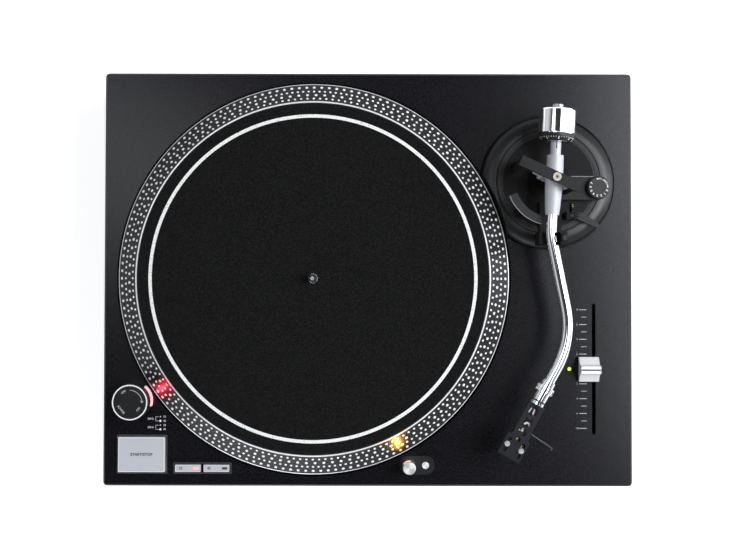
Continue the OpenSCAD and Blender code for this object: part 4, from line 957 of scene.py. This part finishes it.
# %% Lettering and lamps of the keys
start_mid = middle_of("start_stop_button")
start_place = (start_mid.x, start_mid.y, top_of("start_stop_button"))
start_words = words("START/STOP", 2.3 * MM, start_place, bold=0.09 * MM)
join_as("start_stop_words", dark_ink_and_shade, "start_stop_button", [start_words])
LAMP_BAR, LAMP_RIGHT, NUMBER_LEFT = (4.4 * MM, 1.9 * MM), 6.9 * MM, 6.2 * MM
for speed, coat in (("33", red_glow), ("45", dark_ink_and_shade)):
    key = "speed_button_" + speed
    key_mid, key_top = middle_of(key), top_of(key)
    number = words(speed, 2.1 * MM, (key_mid.x - NUMBER_LEFT, key_mid.y, key_top), bold=0.07 * MM)
    join_as("words_" + speed, dark_ink_and_shade, key, [number])
    lamp = raised_bar((key_mid.x + LAMP_RIGHT, key_mid.y), LAMP_BAR, key_top - 0.1 * MM, key_top + 0.12 * MM)
    join_as("lamp_bar_" + speed, coat, key, [lamp])

# %% Frames round the openings of the keys
FRAME_W, FRAME_GAP = 0.35 * MM, 1.3 * MM


def opening_frame(name, first_key, last_key):
    first, last = middle_of(first_key), middle_of(last_key)
    middle = (first + last) / 2
    wide = last.x - first.x + button_caps[first_key][0] + 2 * FRAME_GAP
    deep = button_caps[first_key][1] + 2 * FRAME_GAP
    sides = [printed_bar((middle.x, middle.y + s * deep / 2), (wide, FRAME_W), deck_top) for s in (-1, 1)]
    sides += [printed_bar((middle.x + s * wide / 2, middle.y), (FRAME_W, deep), deck_top) for s in (-1, 1)]
    join_as(name, frame_grey, "case", sides)


frame_grey = finish("frame_grey", grey(0.16), 0.5)
speckled(frame_grey, 1500, dark=grey(0.14), light=grey(0.2), depth=0.01 * MM)
opening_frame("start_frame", "start_stop_button", "start_stop_button")
opening_frame("speed_frame", "speed_button_33", "speed_button_45")

# %% [markdown]
# ## The power knob and the strobe
#
# The knob on the strobe tower switches the power. Its top has a white ring, an arrow from OFF to ON, and
# the words. Words on a round knob follow its edge, so each is turned by the angle at which it stands. The
# tower's window faces the platter and throws red light on the dots; a small red spot lamp in front of the
# window does the same here. A sloping lens closes the window. It is the one part of the tower that shows
# from above, as a pink crescent.

# %% Knob print
knob_top = top_of("power_knob")
KNOB_RING_OUT, KNOB_RING_IN = 14.75 * MM, 13.75 * MM
ARROW_R, ARROW_W = 10.2 * MM, 0.5 * MM


def round_words(text, cap_height, axis, reach, angle, height, outward_top):
    turn = angle - pi / 2 if outward_top else angle + pi / 2
    place = (axis.x + reach * cos(angle), axis.y + reach * sin(angle), height)
    return words(text, cap_height, place, turn, bold=0.06 * MM)


knob_ring = flat_ring(tower_axis, KNOB_RING_IN, KNOB_RING_OUT, knob_top - 0.02 * MM, knob_top + INK)
join_as("knob_ring", white_ink, "power_knob", [knob_ring])
arrow_in, arrow_out = ARROW_R - ARROW_W / 2, ARROW_R + ARROW_W / 2
arrow = arc_strip(tower_axis, arrow_in, arrow_out, radians(-2), radians(92), knob_top, knob_top + INK)
barb_x, barb_y = tower_axis.x + ARROW_R, tower_axis.y + 0.4 * MM
barb_size = (0.4 * MM, 2.0 * MM)
arrow_barbs = [
    printed_bar((barb_x + s * 0.55 * MM, barb_y), barb_size, knob_top, -s * radians(30)) for s in (-1, 1)
]
knob_words = [
    round_words("OFF", 1.7 * MM, tower_axis, 10.0 * MM, radians(121), knob_top, True),
    round_words("ON", 1.7 * MM, tower_axis, 9.2 * MM, radians(-38), knob_top, False),
    round_words("POWER", 1.7 * MM, tower_axis, 9.4 * MM, radians(-140), knob_top, False),
]
join_as("knob_print", grey_ink_and_highlight, "power_knob", [arrow, *arrow_barbs, *knob_words])

# %% Lens of the strobe
window_low, window_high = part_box("strobe_window")
TOWER_R, LENS_OUT = 15.0 * MM, 15.95 * MM
to_platter = atan2(platter_axis.y - tower_axis.y, platter_axis.x - tower_axis.x)
window_way, window_half = to_platter - radians(17), radians(34)
lens_outline = [
    (TOWER_R - 0.1 * MM, window_low.z),
    (LENS_OUT, window_low.z),
    (LENS_OUT, window_low.z + 1 * MM),
    (TOWER_R + 0.2 * MM, window_high.z),
    (TOWER_R - 0.1 * MM, window_high.z),
]
strobe_lens = turned_piece(tower_axis, lens_outline, 24, window_way - window_half, 2 * window_half)
join_as("strobe_lens", strobe_glow, "case", [strobe_lens])

# %% Light from the strobe and the target lamp


def spot_lamp(name, place, target, colour, power, cone):
    lamp = aimed_lamp(name, "SPOT", place, target, colour, power)
    lamp.data.spot_size = cone
    lamp.data.spot_blend = 0.5
    lamp.data.shadow_soft_size = 1 * MM
    return lamp


def out_from(axis, angle, reach, height):
    return Vector((axis.x + cos(angle) * reach, axis.y + sin(angle) * reach, height))


window_mid = middle_of("strobe_window").z
lens_mid = middle_of("target_lens").z
lamp_way = atan2(platter_axis.y - lamp_axis.y, platter_axis.x - lamp_axis.x)
strobe_spot = spot_lamp(
    "strobe_spot",
    out_from(tower_axis, window_way, 16.2 * MM, window_mid + 5 * MM),
    out_from(tower_axis, window_way + radians(6), 28 * MM, window_mid + 3 * MM),
    colour=(1, 0.02, 0.04),
    power=0.065,
    cone=radians(90),
)
target_spot = spot_lamp(
    "target_spot",
    out_from(lamp_axis, lamp_way, 5.8 * MM, lens_mid),
    out_from(lamp_axis, lamp_way, 29 * MM, top_of("platter") - 4 * MM),
    colour=(1, 0.42, 0.06),
    power=0.11,
    cone=radians(72),
)
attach(target_spot, "target_lamp")
print("spots", strobe_spot.name, target_spot.name)

# %% [markdown]
# ## The target lamp and the pitch light
#
# The target lamp pops up beside the platter to light the groove. Its round top is turned aluminium, so its
# reflection breaks into bright and dark wedges; here those wedges are a painted reflection, two greys that
# turn round the axis in the colour. A small chamfered cap with that painted reflection sits on the solid
# lamp, and a black ring closes the well round the release button next to it. The green lamp of the pitch
# fader gets a bezel.

# %% Steel with a painted reflection in wedges


# The bright and dark wedges are a painted reflection: a radial wave mixes two greys into the base colour.
def wedged_steel(name, axis, dark, light):
    steel = finish(name, light, 0.38, metal=0.35)
    tree = steel.node_tree
    place = shader_node(tree, "ShaderNodeTexCoord")
    centred = shader_node(tree, "ShaderNodeMapping")
    centred.inputs["Location"].default_value = (-axis.x, -axis.y, 0)
    wedges = shader_node(tree, "ShaderNodeTexGradient", gradient_type="RADIAL")
    turns = shader_node(tree, "ShaderNodeMath", operation="MULTIPLY")
    turns.inputs[1].default_value = 4 * pi
    wave = shader_node(tree, "ShaderNodeMath", operation="SINE")
    mask = shader_node(tree, "ShaderNodeMapRange")
    mask.inputs["From Min"].default_value = -1
    tree.links.new(place.outputs["Object"], centred.inputs["Vector"])
    tree.links.new(centred.outputs["Vector"], wedges.inputs["Vector"])
    tree.links.new(wedges.outputs["Fac"], turns.inputs[0])
    tree.links.new(turns.outputs[0], wave.inputs[0])
    tree.links.new(wave.outputs[0], mask.inputs["Value"])
    two_colours(steel, mask.outputs["Result"], dark, light)
    return steel


lamp_face_painted_reflection = wedged_steel("lamp_face_painted_reflection", lamp_axis, grey(0.5), grey(0.9))
print("wedges on", lamp_face_painted_reflection.name)

# %% Lamp cap, release well and bezel
lamp_top = top_of("target_lamp")
lamp_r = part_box("target_lamp")[1].x - lamp_axis.x
cap_outline = [
    (0.05 * MM, lamp_top - 0.2 * MM),
    (lamp_r - 0.35 * MM, lamp_top - 0.2 * MM),
    (lamp_r - 0.35 * MM, lamp_top + 0.02 * MM),
    (lamp_r - 0.8 * MM, lamp_top + 0.12 * MM),
    (0.05 * MM, lamp_top + 0.12 * MM),
]
join_as("lamp_cap", lamp_face_painted_reflection, "target_lamp", [turned_piece(lamp_axis, cap_outline, 48)])
release_axis = middle_of("target_button")
release_top = top_of("target_button")
release_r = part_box("target_button")[1].x - release_axis.x
release_outline = [
    (0.05 * MM, release_top - 0.1 * MM),
    (release_r - 0.1 * MM, release_top - 0.1 * MM),
    (release_r - 0.5 * MM, release_top + 0.1 * MM),
    (0.05 * MM, release_top + 0.1 * MM),
]
pod_top = top_of("target_pod")
well_in, well_out = release_r + 0.05 * MM, release_r + 1.5 * MM
release_well = flat_ring(release_axis, well_in, well_out, pod_top - 0.1 * MM, pod_top + INK, 48)
join_as("release_well", rubber, "case", [release_well])
# The release cap gets the same painted reflection in wedges.
release_face_painted_reflection = wedged_steel("release_face_painted_reflection", release_axis, grey(0.6), grey(0.92))
join_as("release_cap", release_face_painted_reflection, "target_button", [turned_piece(release_axis, release_outline, 32)])
led_axis = middle_of("pitch_led")
bezel_outline = [
    (1.55 * MM, deck_top),
    (2.3 * MM, deck_top),
    (2.1 * MM, deck_top + 0.25 * MM),
    (1.6 * MM, deck_top + 0.3 * MM),
]
join_as("pitch_led_bezel", fine_plastic, "case", [turned_piece(led_axis, bezel_outline, 32)])

# %% [markdown]
# ## The arm's base
#
# The anti-skating knob is printed with numbers round its front half and a legend round its back half, so
# its letters are placed one by one along a circle. The height ring is knurled for grip: one tooth is
# modelled and turned round the pivot. A fine pale ring on the chamfer where the platform ends is a painted
# highlight, as are the grey lines along the edges of the lift and the anti-skating housing. Two dark bars on
# the pivot screw are painted shade in its slots.

# %% Print on the anti-skating knob
skate_axis = middle_of("anti_skate_knob")
skate_top = top_of("anti_skate_knob")
PRINT_R = 7.0 * MM


def letters_round(text, cap_height, reach, first, step):
    return [
        round_words(letter, cap_height, skate_axis, reach, first + n * step, skate_top, True)
        for n, letter in enumerate(text)
    ]


skate_numbers = letters_round("76543210", 1.9 * MM, PRINT_R, radians(150), radians(27))
skate_legend = letters_round("ANTI-SKATING", 1.15 * MM, PRINT_R + 0.2 * MM, radians(102), radians(-9))
join_as("skate_print", white_ink, "anti_skate_knob", skate_numbers + skate_legend)
housing_top = top_of("anti_skate_housing")
pointer = (skate_axis.x - 11.6 * MM, skate_axis.y - 1.0 * MM)
skate_pointer = printed_bar(pointer, (2.0 * MM, 0.5 * MM), housing_top)
join_as("skate_pointer", dark_ink_and_shade, "arm_base", [skate_pointer])

# %% Knurl of the height ring and the platform's edge
pivot = middle_of("pivot_screw")
screw_top = top_of("pivot_screw")
# The screw's cross slots are painted shade: two dark bars on the screw's top stand for the shadow in slots
# that are not cut.
slot_size = (3.0 * MM, 0.6 * MM)
screw_slot_shade = [
    raised_bar(pivot, slot_size, screw_top - INK, screw_top + INK, radians(turn)) for turn in (20, 110)
]
join_as("screw_slot_shade", dark_ink_and_shade, "arm_base", screw_slot_shade)
ring_low, ring_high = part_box("height_ring")
ring_r = ring_high.x - pivot.x
base_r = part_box("arm_base")[1].x - pivot.x
platform_top = top_of("height_ring") - 0.5 * MM
tooth_low, tooth_high = ring_low.z + 1 * MM, ring_high.z - 0.25 * MM
tooth = raised_bar((ring_r - 0.35 * MM, 0), (0.9 * MM, 0.7 * MM), tooth_low, tooth_high)
RING_TEETH = 160
join_as("ring_knurl", ring_black, "height_ring", [copies_round(tooth, RING_TEETH, pivot)])
# The pale ring on the platform's chamfer is a painted highlight, standing for light caught by the chamfer.
painted_edge_highlight = handled(finish("painted_edge_highlight", grey(0.05), 0.25), 80, smooth=0.2, dull=0.3)
edge_in, edge_out = base_r - 0.5 * MM, base_r - 0.05 * MM
platform_edge_highlight = flat_ring(pivot, edge_in, edge_out, platform_top - 0.1 * MM, platform_top + INK, 128)
join_as("platform_edge_highlight", painted_edge_highlight, "arm_base", [platform_edge_highlight])
cue_x = middle_of("cue_lever").x - 7.5 * MM
mark_size = (1.6 * MM, 0.35 * MM)
cue_marks = [printed_bar((cue_x, pivot.y - y * MM), mark_size, platform_top) for y in (19.5, 21, 25.5)]
join_as("cue_marks", grey_ink_and_highlight, "arm_base", cue_marks)
# The grey line along the lift's outer edge is a painted highlight.
lift_top = top_of("arm_lift")
lift_start, lift_sweep = radians(-158.5), radians(54)
lift_edge_highlight = arc_strip(pivot, 38.1 * MM, 38.45 * MM, lift_start, lift_sweep, lift_top - INK, lift_top + INK)
join_as("lift_edge_highlight", grey_ink_and_highlight, "arm_lift", [lift_edge_highlight])
# The grey line along the housing's back edge is a painted highlight.
housing_rim = (skate_axis.x - 12.4 * MM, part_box("anti_skate_housing")[1].y - 0.3 * MM)
housing_edge_highlight = raised_bar(housing_rim, (19 * MM, 0.35 * MM), housing_top - INK, housing_top + INK)
join_as("housing_edge_highlight", grey_ink_and_highlight, "arm_base", [housing_edge_highlight])

# %% [markdown]
# ## The counterweight's dial and the plug
#
# These parts lie along the arm, not along an axis of the room. Each is modelled upright at the origin,
# where turning is easy, and is then aimed: its own Z axis is turned to the arm's direction before its place
# is applied. The dial's marks stand on a cone, so each is tilted once, and the Array turns it round the
# axis.

# %% Marks on the dial
ARM_HEADING, SHELL_HEADING = radians(-3.2), radians(-28.8)


def ahead_of(heading):
    return Vector((sin(heading), -cos(heading), 0))


def aim(piece, place, way):
    piece.location = place
    piece.rotation_euler = way.to_track_quat("Z", "Y").to_euler()
    return settle(piece, piece.name, piece.data.materials[0])


arm_way = ahead_of(ARM_HEADING)
arm_height = middle_of("arm_barrel").z
dial_mid = middle_of("force_dial")
CONE_BACK, CONE_FRONT = Vector((14.35 * MM, -0.6 * MM)), Vector((10.8 * MM, 2.8 * MM))
cone_lean = atan2(CONE_FRONT.y - CONE_BACK.y, CONE_BACK.x - CONE_FRONT.x)


def cone_mark(size, share):
    spot = CONE_BACK.lerp(CONE_FRONT, share)
    mark = raised_bar((0, 0), size, -0.1 * MM, 0.15 * MM)
    mark.location = (spot.x, 0, spot.y)
    mark.rotation_euler.y = cone_lean
    return settle(mark, "mark", white_ink)


origin = Vector((0, 0, 0))
long_marks = copies_round(cone_mark((2.6 * MM, 0.7 * MM), 0.45), 8, origin)
short_marks = copies_round(cone_mark((1.1 * MM, 0.4 * MM), 0.2), 40, origin)
dial_marks = [aim(marks, dial_mid, arm_way) for marks in (long_marks, short_marks)]
join_as("dial_marks", white_ink, "force_dial", dial_marks)
stub_place = pivot - arm_way * 27.6 * MM
stub_low, stub_high = arm_height + 4.1 * MM, arm_height + 4.36 * MM
stub_line = raised_bar(stub_place, (0.8 * MM, 6.5 * MM), stub_low, stub_high, ARM_HEADING)
join_as("stub_line", dark_ink_and_shade, "tonearm", [stub_line])

# %% Knurled rings of the plug
collar_mid = middle_of("locking_collar")
shell_way = ahead_of(SHELL_HEADING)
COLLAR_RIDGES = 30
knurl_rows = []
for low in (-2.5 * MM, 0.4 * MM):
    ridge = raised_bar((6.95 * MM, 0), (0.7 * MM, 0.65 * MM), low, low + 2.1 * MM)
    knurl_rows.append(aim(copies_round(ridge, COLLAR_RIDGES, origin), collar_mid, shell_way))
join_as("collar_knurl", chrome, "locking_collar", knurl_rows)
gasket = flat_ring(origin, 4.7 * MM, 5.35 * MM, 10.0 * MM, 11.3 * MM, 48)
join_as("socket_gasket", rubber, "tonearm", [aim(gasket, collar_mid, shell_way)])

# %% [markdown]
# ## Leads in the headshell
#
# Through the round holes of the headshell the thin leads of the cartridge can be seen, with their bright
# clips on the pins, and brass nuts show in the slots behind the two screws. Each lead is a curve of five
# points with a round section, turned into a mesh. A small function gives a place on the headshell: so far
# to the side, so far ahead of its rear edge, so far above the arm's axis.

# %% A place on the headshell and a lead
SHELL_REAR = 13.95 * MM
shell_side = Vector((cos(SHELL_HEADING), sin(SHELL_HEADING), 0))


def shell_place(side, ahead, up):
    across = shell_side * side * MM
    along = shell_way * (SHELL_REAR + ahead * MM)
    return collar_mid + along + across + Vector((0, 0, up * MM))


def lead(name, coat, points, radius):
    clear_selection()
    bpy.ops.curve.primitive_nurbs_path_add()
    path = bpy.context.object
    for point, place in zip(path.data.splines[0].points, points):
        point.co = (*shell_place(*place), 1)
    path.data.splines[0].use_endpoint_u = True
    path.data.splines[0].resolution_u = 6
    path.data.bevel_depth = radius
    path.data.bevel_resolution = 2
    path.data.use_fill_caps = True
    bpy.ops.object.convert(target="MESH")
    piece = settle(bpy.context.object, name, coat)
    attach(piece, "tonearm")
    print(name, len(piece.data.polygons), "faces, rides on tonearm")


print("rear edge of the headshell", tuple(round(v, 4) for v in shell_place(0, 0, 0)))

# %% Four leads and a sleeve
lead_white = finish("lead_white", (0.8, 0.82, 0.86), 0.45)
lead_blue = finish("lead_blue", (0.05, 0.11, 0.3), 0.45)
lead_green = finish("lead_green", (0.03, 0.2, 0.12), 0.45)
lead_red = finish("lead_red", (0.5, 0.03, 0.03), 0.45)
LEAD_R, SLEEVE_R = 0.5 * MM, 0.65 * MM
white_route = [(-1.6, 0.5, -1.6), (-2.3, 4, -1.7), (-2.0, 9, -1.9), (-4.6, 12, -1.9), (-5.2, 24, -1.8)]
blue_route = [(-0.4, 0.5, -2.2), (-0.9, 4, -2.4), (-0.3, 9.5, -2.6), (4.2, 11, -2.9), (5.0, 24, -2.8)]
green_route = [(-2.6, 10.6, -2.4), (-2.2, 12.4, -2), (-3.5, 15.5, -1.9), (-4.4, 18.5, -2), (-4.6, 24, -2.6)]
red_route = [(0.6, 0.5, -2.0), (0.4, 3.4, -1.8), (1.0, 9.4, -1.7), (4.8, 11.4, -1.8), (5.4, 24, -1.8)]
sleeve_route = [(0.5, 1.6, -1.75), (0.45, 3.6, -1.7), (0.7, 5.4, -1.65), (0.9, 7, -1.65), (1.05, 8.6, -1.65)]
lead("lead_white", lead_white, white_route, LEAD_R)
lead("lead_blue", lead_blue, blue_route, LEAD_R)
lead("lead_green", lead_green, green_route, LEAD_R)
lead("lead_red", lead_red, red_route, LEAD_R)
lead("lead_sleeve", lead_white, sleeve_route, SLEEVE_R)

# %% Clips and nuts
clip_cream = finish("clip_cream", (0.8, 0.77, 0.68), 0.35, metal=0.3)
brass_pin = handled(finish("brass_pin", (0.72, 0.5, 0.16), 0.3, metal=0.8), 400, smooth=0.25, dull=0.4)


def shell_bar(side, ahead, size, low, high):
    plan = (size[0] * MM, size[1] * MM)
    low_z, high_z = collar_mid.z + low * MM, collar_mid.z + high * MM
    return raised_bar(shell_place(side, ahead, 0), plan, low_z, high_z, SHELL_HEADING)


hook_place = shell_place(1.1, 18.6, 0)
hook_start, hook_sweep = SHELL_HEADING + radians(-10), radians(200)
hook_low, hook_high = collar_mid.z - 2.0 * MM, collar_mid.z - 1.2 * MM
clip_hook = arc_strip(hook_place, 1.2 * MM, 2.6 * MM, hook_start, hook_sweep, hook_low, hook_high)
clips = [
    clip_hook,
    shell_bar(-0.3, 23.4, (1.8, 3.2), -1.9, -0.9),
    shell_bar(-2.7, 24.0, (0.8, 2.8), -1.9, -0.9),
    shell_bar(0.5, 12.7, (1.2, 1.0), -1.9, -1.2),
]
join_as("lead_clips", clip_cream, "tonearm", clips)
nuts = [
    shell_bar(-1.07, 32.0, (1.1, 2.0), -0.3, 0.4),
    shell_bar(-4.5, 36.3, (1.3, 1.8), -0.3, 0.9),
    shell_bar(4.7, 36.1, (1.3, 1.8), -0.3, 0.9),
]
join_as("brass_nuts", brass_pin, "tonearm", nuts)

# %% [markdown]
# ## The rear
#
# The photograph doesn't show the rear, so it is kept to what such a deck needs there: a dark plate behind
# the two signal jacks and the ground post, a coloured collar on each jack, and bright pins in the mains
# inlet. All of it is modelled upright and aimed to the back, as the dial was aimed along the arm.

# %% Jack plate, collars and pins
TO_BACK = Vector((0, 1, 0))
JACK_L, JACK_R, PLATE_DEEP = 9 * MM, 4.15 * MM, 0.2 * MM
RIGHT_X, LEFT_X, GROUND_X = -18 * MM, -4 * MM, 15 * MM
terminals_low, terminals_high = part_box("audio_terminals")
plate_mid = middle_of("audio_terminals")
plate_mid.y = terminals_high.y - JACK_L
plate_size = (terminals_high.x - terminals_low.x, terminals_high.z - terminals_low.z)
plate = raised_bar(origin, plate_size, 0, PLATE_DEEP)
join_as("jack_plate", fine_plastic, "case", [aim(plate, plate_mid, TO_BACK)])
for jack, offset, coat in (("right", RIGHT_X, lead_red), ("left", LEFT_X, lead_white)):
    collar = flat_ring(origin, JACK_R + 0.05 * MM, JACK_R + 1.7 * MM, 1.4 * MM, 2.6 * MM, 48)
    join_as("jack_collar_" + jack, coat, "case", [aim(collar, plate_mid + Vector((offset, 0, 0)), TO_BACK)])
plate_words = [
    aim(words(text, 1.8 * MM, origin), plate_mid + Vector((offset, PLATE_DEEP, 7.6 * MM)), TO_BACK)
    for text, offset in (("R", RIGHT_X), ("L", LEFT_X), ("GND", GROUND_X))
]
join_as("jack_words", grey_ink_and_highlight, "case", plate_words)
pin_foot = middle_of("mains_inlet")
pin_foot.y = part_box("mains_inlet")[1].y - 16 * MM
inlet_pins = [
    aim(flat_ring(origin, 0.05 * MM, 1.35 * MM, 0, 9.2 * MM, 24), pin_foot + Vector((x * MM, 0, 0)), TO_BACK)
    for x in (-4.5, 4.5)
]
join_as("inlet_pins", brass, "case", inlet_pins)
